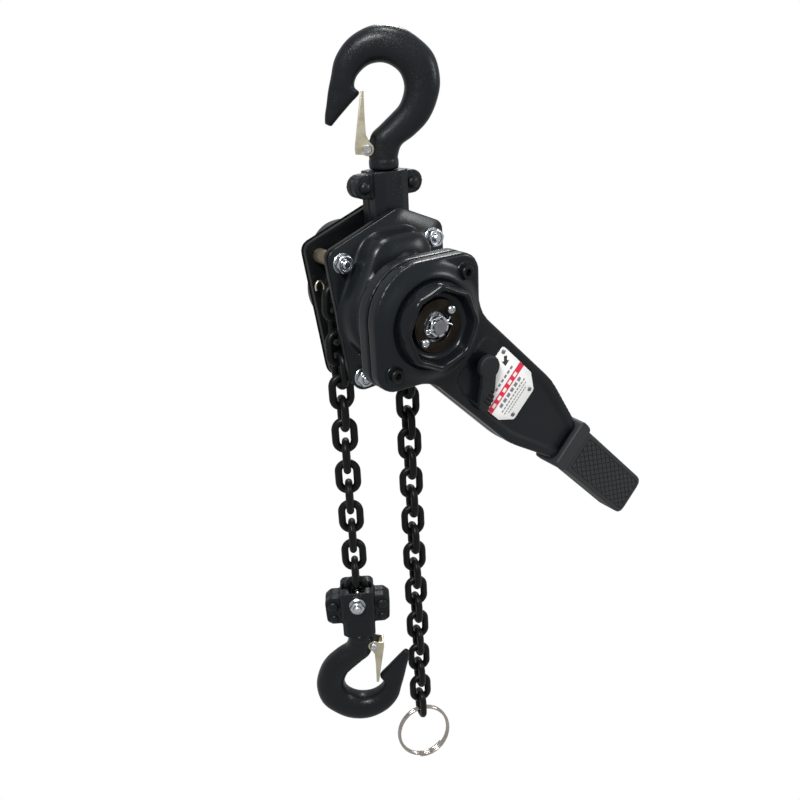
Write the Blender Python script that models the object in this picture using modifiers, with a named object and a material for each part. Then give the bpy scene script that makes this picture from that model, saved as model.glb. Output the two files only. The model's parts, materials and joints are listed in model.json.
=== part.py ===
"""Lever chain hoist, 1 t class, with one fall of 6 x 18 mm chain.

Metres, +Z up. The origin is the saddle of the top hook, where the hoist hangs. The lever side faces -Y,
and "front" in this script is the distance towards the lever side, so front = -y.
"""

from math import atan2, cos, pi, radians, sin, tan

import bmesh
import bpy
from mathutils import Matrix, Vector

# Chain
CHAIN_WIRE = 0.006
CHAIN_PITCH = 0.018
LINK_WIDTH = 0.0204
CAD_WIRE_RADIUS = 0.00325  # a little over half the wire, as the bar is six-sided here
STRAND_LIFT = 0.0012  # each strand solid hangs this much high, to clear the one above
SHEAVE_PITCH_RADIUS = 0.0293
HALF_WRAP = 5 * CHAIN_PITCH  # chain on half a turn of the five-pocket sheave
HOOK_STRAND_TOP = -0.01485  # height of the last wrapped link over the sheave axis, hook side
HOOK_STRAND_LINKS = (2, 11)
SLACK_STRAND_LINKS = (3, 19)
WRAPPED_LINKS = 7
HOOK_TURN = radians(-30)  # the hooks and the hook strand have swivelled this far
SLACK_TURN = radians(-15)

# Hook forgings and yokes
SADDLE_TO_YOKE = 0.070
NECK_RADIUS = 0.0102
STEM_RADIUS = 0.007
STEM_HEAD_RADIUS = 0.0093
LATCH_PIVOT = (-0.011, -0.0555)  # from the saddle, in the plane of the hook
LUG_RADIUS = 0.0046
LUG_HALF_WIDTH = 0.0042
LATCH_HALF_WIDTH = 0.0058
LATCH_HALF_CHANNEL = 0.0046
LATCH_PIN_ROOM = 0.0021
YOKE_HALF_WIDTH = 0.014
YOKE_HALF_DEPTH = 0.012
SADDLE_TO_PIN = 0.110
YOKE_PIN_RADIUS = 0.005

# Frame, measured from the sheave axis
FRAME_TILT = radians(5)
PIN_TO_SHEAVE = (-0.0226, -0.0497)
PLATE_CORNERS = (
    (0.0225, 0.0660, 0.010),
    (-0.0395, 0.0475, 0.008),
    (-0.0345, -0.0590, 0.012),
    (0.0500, -0.0590, 0.012),
    (0.0575, 0.0475, 0.008),
)
PLATE_INNER = 0.0133
PLATE_OUTER = 0.0173
FLANGE_INNER = 0.0176
FLANGE_OUTER = 0.0206
UPPER_STAYS = {"left": (-0.029, 0.0385), "right": (0.047, 0.0385)}
LOWER_STUDS = {"left": (-0.026, -0.048), "right": (0.044, -0.048)}
LOWER_STAY = (0.006, -0.046)
GUIDE_ROLLER = (0.047, -0.008)
STAY_RADIUS = 0.003
NUT_RADIUS = 0.0058

# Gear train, behind the rear plate
SHAFT_RADIUS = 0.005
GEAR_CENTRES = 0.026
PINION_TIP = 0.006
WHEEL_TIP = 0.0196
DISC_GEAR_ANGLES = {"upper": radians(75), "lower": radians(-60)}
GEAR_COVER_BACK = -0.056

# Load brake, behind the brake cover
FRICTION_RADIUS = 0.027
RATCHET_TIP = 0.031
BRAKE_PAWL = (0.008, 0.0425)
COVER_STEP = 0.0375
COVER_FRONT = 0.0515

# Lever, measured from the sheave axis along the lever
LEVER_ANGLE = radians(-44.5)
LEVER_BACK = 0.0555
LEVER_SEAM = 0.067
LEVER_FRONT = 0.078
LEVER_WALL = 0.0025
HEAD_DIAGONAL = 0.060
ARM_HALF_WIDTH = 0.0295
ARM_END = 0.178
TANG_END = 0.276
GRIP_END = 0.288
PANEL_DEPTH = 0.002
HEAD_SCREW = 0.042
SELECTOR = (0.062, 0.003)
CHANGE_GEAR_TIP = 0.0325

# Handwheel
HANDWHEEL_BACK = 0.0833
HANDWHEEL_FRONT = 0.095
HANDWHEEL_CORNER = 0.0305
HUB_BOSS = 0.009
SHAFT_END = 0.0905

# Bottom hook assembly, measured from the chain bolt
BOLT_IN_LINK = -0.005
BOLT_TO_YOKE_FACE = 0.034
RING_RADIUS = 0.0238
RING_WIRE = 0.0022
RING_LEAN = radians(-12)

CLEARANCE = 0.0003

# Solids that the exact Boolean solver leaves open
MANIFOLD_SOLIDS = {
    "castle_nut",
    "chain_wrap",
    "hook_chain_upper",
    "hook_chain_lower",
    "slack_chain_upper",
    "slack_chain_lower",
    "lever_front_shell",
    "lever_rear_shell",
    "top_yoke_front",
}


# ---------------------------------------------------------------- scene and materials

def clear_scene():
    for obj in list(bpy.data.objects):
        bpy.data.objects.remove(obj, do_unlink=True)


def new_collection(name):
    collection = bpy.data.collections.new(name)
    bpy.context.scene.collection.children.link(collection)
    return collection


def material(name, colour, roughness, metallic):
    found = bpy.data.materials.new(name)
    found.use_nodes = True
    shader = found.node_tree.nodes["Principled BSDF"]
    shader.inputs["Base Color"].default_value = (*colour, 1)
    shader.inputs["Roughness"].default_value = roughness
    shader.inputs["Metallic"].default_value = metallic
    return found


clear_scene()
PARTS = new_collection("lever_chain_hoist")
CUTTERS = new_collection("cutters")
BLACK_COAT = material("black_powder_coat", (0.030, 0.032, 0.034), 0.38, 0.0)
BLACK_STEEL = material("black_chain_steel", (0.040, 0.040, 0.042), 0.42, 0.8)
BRIGHT_ZINC = material("bright_zinc", (0.62, 0.64, 0.66), 0.25, 1.0)
YELLOW_ZINC = material("yellow_zinc", (0.66, 0.58, 0.36), 0.32, 1.0)
GROUND_STEEL = material("ground_steel", (0.42, 0.42, 0.43), 0.30, 1.0)
NICKEL = material("nickel", (0.62, 0.58, 0.53), 0.18, 1.0)
RUBBER = material("black_rubber", (0.035, 0.036, 0.037), 0.70, 0.0)
PLASTIC = material("black_plastic", (0.040, 0.042, 0.045), 0.50, 0.0)
PLATE_WHITE = material("white_plate", (0.85, 0.85, 0.84), 0.35, 0.0)
FRICTION = material("friction_lining", (0.16, 0.12, 0.09), 0.85, 0.0)


# ---------------------------------------------------------------- shape helpers

def add_object(name, mesh, parent, finish):
    """A part if it has a finish, and a cutter if it has none."""
    obj = bpy.data.objects.new(name, mesh)
    obj.parent = parent
    if finish is None:
        CUTTERS.objects.link(obj)
        obj.hide_render = True
        obj.display_type = "WIRE"
    else:
        PARTS.objects.link(obj)
        mesh.materials.append(finish)
    return obj


def group(name, location, rotation=(0, 0, 0), parent=None):
    empty = bpy.data.objects.new(name, None)
    empty.location = location
    empty.rotation_euler = rotation
    empty.parent = parent
    PARTS.objects.link(empty)
    return empty


def welded(mesh):
    """The mesh with its doubles merged and its faces turned outwards."""
    edit = bmesh.new()
    edit.from_mesh(mesh)
    bmesh.ops.remove_doubles(edit, verts=edit.verts, dist=1e-7)
    bmesh.ops.recalc_face_normals(edit, faces=edit.faces)
    edit.to_mesh(mesh)
    edit.free()
    return mesh


def mesh_of_curve(curve):
    holder = bpy.data.objects.new("curve", curve)
    bpy.context.scene.collection.objects.link(holder)
    bpy.context.view_layer.update()
    evaluated = holder.evaluated_get(bpy.context.evaluated_depsgraph_get())
    mesh = bpy.data.meshes.new_from_object(evaluated)
    bpy.data.objects.remove(holder, do_unlink=True)
    return welded(mesh)


def add_spline(curve, points, closed):
    spline = curve.splines.new("POLY")
    spline.points.add(len(points) - 1)
    for point, place in zip(spline.points, points):
        point.co = (*place, 1)
    spline.use_cyclic_u = closed


def slab(name, outline, front, back, parent, finish, holes=()):
    """A flat piece whose outline is in X and Z, between two distances to the front."""
    curve = bpy.data.curves.new(name, "CURVE")
    curve.dimensions = "2D"
    curve.fill_mode = "BOTH"
    curve.extrude = (front - back) / 2
    for points in (outline, *holes):
        add_spline(curve, [(x, z, 0) for x, z in points], True)
    mesh = mesh_of_curve(curve)
    middle = Matrix.Translation((0, -(front + back) / 2, 0))
    mesh.transform(middle @ Matrix.Rotation(pi / 2, 4, "X"))
    return add_object(name, mesh, parent, finish)


def block(name, outline, low, high, parent, finish):
    """An upright prism whose outline is in X and Y, between two heights."""
    curve = bpy.data.curves.new(name, "CURVE")
    curve.dimensions = "2D"
    curve.fill_mode = "BOTH"
    curve.extrude = (high - low) / 2
    add_spline(curve, [(x, y, 0) for x, y in outline], True)
    mesh = mesh_of_curve(curve)
    mesh.transform(Matrix.Translation((0, 0, (high + low) / 2)))
    return add_object(name, mesh, parent, finish)


def turned(name, profile, parent, finish, centre=(0, 0), steps=24):
    """A turned piece on an axis along Y. The profile holds (radius, front) pairs, front end first."""
    mesh = bpy.data.meshes.new(name)
    corners = [(radius, 0, front) for radius, front in profile]
    edges = [(i, i + 1) for i in range(len(corners) - 1)]
    if profile[0][0] > 0:
        edges.append((len(corners) - 1, 0))
    mesh.from_pydata(corners, edges, [])
    obj = add_object(name, mesh, parent, finish)
    obj.location = (centre[0], 0, centre[1])
    obj.rotation_euler = (pi / 2, 0, 0)
    screw = obj.modifiers.new("turn", "SCREW")
    screw.steps = steps
    screw.render_steps = steps
    screw.use_merge_vertices = True
    screw.merge_threshold = 1e-6
    return obj


def rod(name, radius, front, back, parent, finish, centre=(0, 0), sides=16):
    """A round bar along Y."""
    edit = bmesh.new()
    place = Matrix.Translation((centre[0], -(front + back) / 2, centre[1]))
    bmesh.ops.create_cone(
        edit,
        cap_ends=True,
        segments=sides,
        radius1=radius,
        radius2=radius,
        depth=front - back,
        matrix=place @ Matrix.Rotation(pi / 2, 4, "X"),
    )
    mesh = bpy.data.meshes.new(name)
    edit.to_mesh(mesh)
    edit.free()
    return add_object(name, mesh, parent, finish)


def loft(name, rings, parent, finish):
    """A closed skin over rings with the same number of points."""
    edit = bmesh.new()
    loops = [[edit.verts.new(point) for point in ring] for ring in rings]
    count = len(rings[0])
    for lower, upper in zip(loops, loops[1:]):
        for i in range(count):
            j = (i + 1) % count
            edit.faces.new((lower[i], lower[j], upper[j], upper[i]))
    edit.faces.new(loops[0])
    edit.faces.new(loops[-1])
    bmesh.ops.recalc_face_normals(edit, faces=edit.faces)
    mesh = bpy.data.meshes.new(name)
    edit.to_mesh(mesh)
    edit.free()
    return add_object(name, mesh, parent, finish)


def boolean(obj, tool, operation="DIFFERENCE"):
    modifier = obj.modifiers.new(operation.lower(), "BOOLEAN")
    modifier.operation = operation
    modifier.solver = "MANIFOLD" if obj.name in MANIFOLD_SOLIDS else "EXACT"
    modifier.object = tool
    return obj


def round_hole(obj, name, radius, front, back, parent, centre=(0, 0), sides=16):
    return boolean(obj, rod(name, radius, front, back, parent, None, centre, sides))


# ---------------------------------------------------------------- outline helpers

def circle(radius, centre=(0, 0), sides=16, start=0.0):
    steps = [start + 2 * pi * i / sides for i in range(sides)]
    return [(centre[0] + radius * cos(a), centre[1] + radius * sin(a)) for a in steps]


def rounded(corners, arc_step=radians(22)):
    """The outline through (x, z, radius) corners, each rounded to its radius."""
    points = []
    count = len(corners)
    for i, (x, z, radius) in enumerate(corners):
        here = Vector((x, z))
        before = (Vector(corners[i - 1][:2]) - here).normalized()
        after = (Vector(corners[(i + 1) % count][:2]) - here).normalized()
        if radius <= 0:
            points.append((x, z))
            continue
        half = before.angle(after) / 2
        centre = here + (before + after).normalized() * (radius / sin(half))
        start = here + before * (radius / tan(half)) - centre
        end = here + after * (radius / tan(half)) - centre
        turn = (atan2(end.y, end.x) - atan2(start.y, start.x) + pi) % (2 * pi) - pi
        steps = max(1, round(abs(turn) / arc_step))
        first = atan2(start.y, start.x)
        for step in range(steps + 1):
            angle = first + turn * step / steps
            points.append((centre.x + radius * cos(angle), centre.y + radius * sin(angle)))
    return points


def signed_area(corners):
    pairs = zip(corners, corners[1:] + corners[:1])
    return sum(a[0] * b[1] - b[0] * a[1] for a, b in pairs) / 2


def inset(corners, distance):
    """The corners moved inwards, with radii that keep the wall even."""
    corners = list(corners)
    side = 1 if signed_area(corners) > 0 else -1
    count = len(corners)
    moved = []
    for i, (x, z, radius) in enumerate(corners):
        here = Vector((x, z))
        arriving = (here - Vector(corners[i - 1][:2])).normalized()
        leaving = (Vector(corners[(i + 1) % count][:2]) - here).normalized()
        normals = [Vector((-d.y, d.x)) * side for d in (arriving, leaving)]
        shift = (normals[0] + normals[1]) * (distance / (1 + normals[0].dot(normals[1])))
        convex = side * (arriving.x * leaving.y - arriving.y * leaving.x) > 0
        new_radius = max(radius - distance, 0.0005) if convex else radius + distance
        moved.append((x + shift.x, z + shift.y, new_radius))
    return moved


def hull(circles, grow=0.0, sides=32):
    """The outline of a belt round (x, z, radius) circles."""
    points = []
    for x, z, radius in circles:
        points += circle(radius + grow, (x, z), sides)
    points = sorted(set(points))

    def chain(ordered):
        kept = []
        for point in ordered:
            while len(kept) > 1:
                ax, az = kept[-1][0] - kept[-2][0], kept[-1][1] - kept[-2][1]
                bx, bz = point[0] - kept[-1][0], point[1] - kept[-1][1]
                if ax * bz - az * bx > 1e-12:
                    break
                kept.pop()
            kept.append(point)
        return kept[:-1]

    return chain(points) + chain(points[::-1])


def gear(teeth, root, tip):
    """Straight-sided teeth, with lands a quarter of the tooth pitch wide."""
    points = []
    for tooth in range(teeth):
        for share, radius in ((-0.36, root), (-0.14, tip), (0.14, tip), (0.36, root)):
            angle = 2 * pi * (tooth + share) / teeth
            points.append((radius * cos(angle), radius * sin(angle)))
    return points


def ratchet(teeth, root, tip):
    points = []
    for tooth in range(teeth):
        for share, radius in ((0.0, root), (0.06, tip), (0.22, tip)):
            angle = 2 * pi * (tooth + share) / teeth
            points.append((radius * cos(angle), radius * sin(angle)))
    return points


def around(angle, radius):
    return (radius * cos(angle), radius * sin(angle))


# ---------------------------------------------------------------- groups on the joint axes

def tilted(place, angle):
    x, z = place
    return (x * cos(angle) - z * sin(angle), x * sin(angle) + z * cos(angle))


SHEAVE_AT = tilted(PIN_TO_SHEAVE, FRAME_TILT)
SHEAVE_X = SHEAVE_AT[0]
SHEAVE_Z = SHEAVE_AT[1] - SADDLE_TO_PIN

TOP_HOOK = group("top_hook_group", (0, 0, 0), (0, 0, HOOK_TURN))
TOP_YOKE = group("top_yoke_group", (0, 0, -SADDLE_TO_YOKE))
FRAME = group("frame_group", (SHEAVE_X, 0, SHEAVE_Z), (0, -FRAME_TILT, 0))
SHEAVE = group("sheave_axis", (SHEAVE_X, 0, SHEAVE_Z))
LEVER = group("lever_group", (SHEAVE_X, 0, SHEAVE_Z), (0, -LEVER_ANGLE, 0))


# ---------------------------------------------------------------- hooks and latches

# Inner edge, outer edge and half thickness of the forging, from the neck round to the tip, in millimetres
# from the saddle.
HOOK_SECTIONS = (
    (-10.2, -60.0, 10.3, -61.0, 10.2),
    (-8.3, -47.0, 13.2, -54.0, 10.0),
    (-1.0, -40.0, 21.5, -48.5, 10.0),
    (7.0, -33.0, 31.5, -39.5, 10.2),
    (13.0, -27.0, 38.0, -28.0, 10.6),
    (16.5, -17.0, 41.3, -14.0, 11.0),
    (14.5, -8.0, 38.5, 1.5, 11.0),
    (9.0, -2.6, 30.0, 12.2, 11.0),
    (2.0, 0.0, 15.5, 21.5, 11.0),
    (-6.0, -0.8, -2.0, 23.6, 10.5),
    (-12.0, -4.4, -18.5, 16.8, 9.6),
    (-16.2, -9.3, -29.0, 5.0, 8.6),
    (-17.4, -14.8, -33.2, -8.0, 7.4),
    (-14.2, -18.7, -35.8, -17.0, 6.0),
    (-20.5, -25.0, -37.4, -25.0, 5.0),
    (-28.0, -32.4, -39.0, -32.0, 4.0),
    (-33.6, -37.4, -38.8, -35.6, 2.4),
)
SECTION_SIDES = 12


def hook_rings():
    """Rings from the head of the stem, up the neck and round the bowl to the tip."""
    rings = []
    yoke_face = -SADDLE_TO_YOKE
    stem = (
        (STEM_HEAD_RADIUS, yoke_face - 0.017),
        (STEM_HEAD_RADIUS, yoke_face - 0.012),
        (STEM_RADIUS, yoke_face - 0.0118),
        (STEM_RADIUS, yoke_face + 0.0001),
        (NECK_RADIUS, yoke_face + 0.0003),
    )
    steps = [2 * pi * i / SECTION_SIDES for i in range(SECTION_SIDES)]
    for radius, height in stem:
        rings.append([(-radius * cos(a), radius * sin(a), height) for a in steps])
    for inner_x, inner_z, outer_x, outer_z, half in HOOK_SECTIONS:
        inner = Vector((inner_x, 0, inner_z)) / 1000
        outer = Vector((outer_x, 0, outer_z)) / 1000
        middle = (inner + outer) / 2
        reach = (inner - outer) / 2
        side = Vector((0, half / 1000, 0))
        rings.append([middle + reach * cos(a) + side * sin(a) for a in steps])
    return rings


def hook(name, parent):
    obj = loft(name, hook_rings(), parent, BLACK_COAT)
    lug = rod(name + "_lug", LUG_RADIUS, LUG_HALF_WIDTH, -LUG_HALF_WIDTH, parent, None, LATCH_PIVOT)
    boolean(obj, lug, "UNION")
    px, pz = LATCH_PIVOT
    flat = hull([(px, pz, 0.0053), (px + 0.0045, pz + 0.0075, 0.0016)], sides=16)
    for side, front, back in (("front", 0.02, LUG_HALF_WIDTH), ("rear", -LUG_HALF_WIDTH, -0.02)):
        boolean(obj, slab(f"{name}_{side}_flat", flat, front, back, parent, None))
    return round_hole(obj, name + "_pin_hole", LATCH_PIN_ROOM, 0.02, -0.02, parent, LATCH_PIVOT, 12)


def latch(name, parent):
    """A channel of sheet: its web faces the throat, its cheeks straddle the lug."""
    px, pz = LATCH_PIVOT
    cheek = [(px + x, pz + z) for x, z in (around(radians(turn), LUG_RADIUS) for turn in range(-120, 41, 40))]
    cheek += [
        (px - 0.0020, pz + 0.014),
        (px - 0.0004, pz + 0.0385),
        (px - 0.0025, pz + 0.0385),
        (px - 0.0088, pz + 0.001),
        (px - 0.0086, pz - 0.002),
    ]
    obj = slab(name, cheek, LATCH_HALF_WIDTH, -LATCH_HALF_WIDTH, parent, YELLOW_ZINC)
    channel = [
        (px + 0.02, pz - 0.02),
        (px + 0.02, pz + 0.05),
        (px - 0.0002, pz + 0.05),
        (px - 0.0013, pz + 0.0385),
        (px - 0.0075, pz + 0.001),
        (px - 0.0074, pz - 0.02),
    ]
    boolean(obj, slab(name + "_channel", channel, LATCH_HALF_CHANNEL, -LATCH_HALF_CHANNEL, parent, None))
    return round_hole(obj, name + "_pin_hole", LATCH_PIN_ROOM, 0.01, -0.01, parent, LATCH_PIVOT, 12)


def latch_pin(name, parent):
    profile = [(0, 0.0076), (0.003, 0.0076), (0.003, 0.0061), (0.0018, 0.0061), (0.0018, -0.0061)]
    profile += [(0.003, -0.0061), (0.003, -0.0076), (0, -0.0076)]
    return turned(name, profile, parent, BRIGHT_ZINC, LATCH_PIVOT, 12)


def stem_cavity(name, face, direction, parent):
    """The space for a hook's stem and its head, from the yoke's face inwards."""
    wide = STEM_HEAD_RADIUS + CLEARANCE
    narrow = STEM_RADIUS + CLEARANCE
    steps = [2 * pi * i / 16 for i in range(16)]
    depths = ((narrow, -0.002), (narrow, 0.0113), (wide, 0.0115), (wide, 0.0175))
    rings = []
    for radius, depth in depths:
        height = face + direction * depth
        rings.append([(radius * cos(a), radius * sin(a), height) for a in steps])
    return loft(name, rings, parent, None)


# ---------------------------------------------------------------- top yoke

RIVET_AT = (0.0200, -0.0105)
COLUMN_END = -(SADDLE_TO_PIN - SADDLE_TO_YOKE) - 0.009


def dome_rivet(name, centre, half_grip, shank, head, parent):
    tall = head * 0.7
    profile = [
        (0, half_grip + tall),
        (head * 0.6, half_grip + tall * 0.8),
        (head, half_grip),
        (shank, half_grip),
        (shank, -half_grip),
        (head, -half_grip),
        (head * 0.6, -half_grip - tall * 0.8),
        (0, -half_grip - tall),
    ]
    return turned(name, profile, parent, BLACK_COAT, centre, 12)


def top_yoke_half(name, side):
    """side is 1 for the front half and -1 for the rear half."""
    width, depth = YOKE_HALF_WIDTH, YOKE_HALF_DEPTH
    gap = CLEARANCE / 2
    column = [(-width, gap), (width, gap), (width, 0.009), (0.007, depth), (-0.007, depth), (-width, 0.009)]
    outline = [(x, -side * y) for x, y in column]
    obj = block(name, outline, COLUMN_END, -CLEARANCE, TOP_YOKE, BLACK_COAT)
    ears = hull([(sign * RIVET_AT[0], -0.0100, 0.0085) for sign in (-1, 1)], sides=16)
    front, back = sorted((side * 0.0062, side * gap), reverse=True)
    boolean(obj, slab(name + "_ears", ears, front, back, TOP_YOKE, None), "UNION")
    boolean(obj, stem_cavity(name + "_stem_cavity", 0, -1, TOP_YOKE))
    pin_at = (0, -(SADDLE_TO_PIN - SADDLE_TO_YOKE))
    round_hole(obj, name + "_pin_hole", YOKE_PIN_RADIUS + CLEARANCE, 0.02, -0.02, TOP_YOKE, pin_at)
    for sign, hand in ((-1, "left"), (1, "right")):
        centre = (sign * RIVET_AT[0], RIVET_AT[1])
        round_hole(obj, f"{name}_{hand}_rivet_hole", 0.0030, 0.02, -0.02, TOP_YOKE, centre, 12)
    return obj


def build_top():
    hook("top_hook", TOP_HOOK)
    latch("top_latch", TOP_HOOK)
    latch_pin("top_latch_pin", TOP_HOOK)
    top_yoke_half("top_yoke_front", 1)
    top_yoke_half("top_yoke_rear", -1)
    for sign, hand in ((-1, "left"), (1, "right")):
        centre = (sign * RIVET_AT[0], RIVET_AT[1])
        dome_rivet(f"top_yoke_rivet_{hand}", centre, 0.0065, 0.0027, 0.0046, TOP_YOKE)


# ---------------------------------------------------------------- frame

def plate(name, front, back, extra_holes):
    pin_at = (-PIN_TO_SHEAVE[0], -PIN_TO_SHEAVE[1])
    holes = [circle(0.0128, sides=24), circle(YOKE_PIN_RADIUS + CLEARANCE, pin_at, 12)]
    for centre in (*UPPER_STAYS.values(), LOWER_STAY, GUIDE_ROLLER, *extra_holes):
        holes.append(circle(STAY_RADIUS + CLEARANCE, centre, 12))
    return slab(name, rounded(inset(PLATE_CORNERS, 0.0005)), front, back, FRAME, BLACK_COAT, holes)


def stay(name, centre, finish):
    """A shouldered stay that keeps the plates apart. Its rear end is headed."""
    thin, thick = STAY_RADIUS, 0.0050
    shoulder = PLATE_INNER - CLEARANCE
    profile = [
        (0, 0.0285),
        (thin, 0.0285),
        (thin, shoulder),
        (thick, shoulder),
        (thick, -shoulder),
        (thin, -shoulder),
        (thin, -FLANGE_OUTER - CLEARANCE),
        (0.0055, -FLANGE_OUTER - CLEARANCE),
        (0.0055, -0.0250),
        (0, -0.0250),
    ]
    return turned(name, profile, FRAME, finish, centre, 16)


def nut(name, centre, front, back, parent):
    return slab(
        name,
        circle(NUT_RADIUS, centre, 6),
        front,
        back,
        parent,
        BRIGHT_ZINC,
        [circle(STAY_RADIUS + CLEARANCE, centre, 12)],
    )


COVER_LOBES = ((0.0, -0.003, 0.0365), (0.002, 0.033, 0.0195), (0.020, 0.034, 0.0170))
COVER_CORE = ((0.0, -0.002, 0.0345), (0.014, 0.028, 0.0120))


def brake_cover():
    fixings = (*UPPER_STAYS.values(), *LOWER_STUDS.values())
    holes = [circle(STAY_RADIUS + CLEARANCE, centre, 12) for centre in fixings]
    outline = rounded(PLATE_CORNERS)
    obj = slab("brake_cover", outline, FLANGE_OUTER, FLANGE_INNER, FRAME, BLACK_COAT, holes)
    lobes = slab("cover_lobes", hull(COVER_LOBES), COVER_STEP, FLANGE_INNER, FRAME, None)
    core = slab("cover_core", hull(COVER_CORE), COVER_FRONT, FLANGE_INNER, FRAME, None)
    boolean(obj, lobes, "UNION")
    boolean(obj, core, "UNION")
    wall = -LEVER_WALL
    inside = slab("cover_lobes_inside", hull(COVER_LOBES, wall), COVER_STEP + wall, 0.010, FRAME, None)
    deep = slab("cover_core_inside", hull(COVER_CORE, wall), COVER_FRONT + wall, 0.010, FRAME, None)
    boolean(obj, inside)
    boolean(obj, deep)
    return round_hole(obj, "cover_shaft_hole", 0.0155, 0.06, 0.04, FRAME, sides=20)


def disc_gear_centre(key):
    return around(DISC_GEAR_ANGLES[key], GEAR_CENTRES)


def gear_cover():
    upper = disc_gear_centre("upper")
    lower = disc_gear_centre("lower")
    lobes = ((0.004, 0.0, 0.0300), (upper[0], upper[1] + 0.001, 0.0255), (*lower, 0.0235))
    holes = [circle(STAY_RADIUS + CLEARANCE, centre, 12) for centre in UPPER_STAYS.values()]
    outline = rounded(PLATE_CORNERS)
    obj = slab("gear_cover", outline, -FLANGE_INNER, -FLANGE_OUTER, FRAME, BLACK_COAT, holes)
    dome = slab("gear_dome", hull(lobes), -FLANGE_INNER, GEAR_COVER_BACK, FRAME, None)
    boolean(obj, dome, "UNION")
    wall = -LEVER_WALL
    inside = slab("gear_dome_inside", hull(lobes, wall), -0.010, GEAR_COVER_BACK - wall, FRAME, None)
    return boolean(obj, inside)


def guide_roller():
    thin, thick = STAY_RADIUS, 0.006
    shoulder = PLATE_INNER - CLEARANCE
    profile = [(0, 0.0170), (thin, 0.0170), (thin, shoulder), (thick, shoulder), (0.0045, 0.004)]
    profile += [(radius, -front) for radius, front in reversed(profile)]
    return turned("guide_roller", profile, FRAME, BRIGHT_ZINC, GUIDE_ROLLER, 16)


def build_frame():
    plate("side_plate_front", PLATE_OUTER, PLATE_INNER, LOWER_STUDS.values())
    plate("side_plate_rear", -PLATE_INNER, -PLATE_OUTER, map(disc_gear_centre, DISC_GEAR_ANGLES))
    pin_at = (-PIN_TO_SHEAVE[0], -PIN_TO_SHEAVE[1])
    rod("yoke_pin", YOKE_PIN_RADIUS, 0.0172, -0.0172, FRAME, GROUND_STEEL, pin_at)
    for hand, centre in UPPER_STAYS.items():
        stay(f"stay_upper_{hand}", centre, YELLOW_ZINC)
        nut(f"cover_nut_upper_{hand}", centre, 0.0269, 0.0209, FRAME)
    shoulder = PLATE_INNER - CLEARANCE
    profile = [(0, 0.0168), (STAY_RADIUS, 0.0168), (STAY_RADIUS, shoulder), (0.005, shoulder)]
    profile += [(radius, -front) for radius, front in reversed(profile)]
    turned("stay_lower", profile, FRAME, YELLOW_ZINC, LOWER_STAY, 16)
    for hand, centre in LOWER_STUDS.items():
        profile = [(0, 0.0285), (STAY_RADIUS, 0.0285), (STAY_RADIUS, 0.0130)]
        profile += [(0.0045, 0.0130), (0.0045, 0.0116), (0, 0.0116)]
        turned(f"cover_stud_lower_{hand}", profile, FRAME, BRIGHT_ZINC, centre, 12)
        nut(f"cover_nut_lower_{hand}", centre, 0.0269, 0.0209, FRAME)
    brake_cover()
    gear_cover()
    guide_roller()


# ---------------------------------------------------------------- gear train and brake

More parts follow.
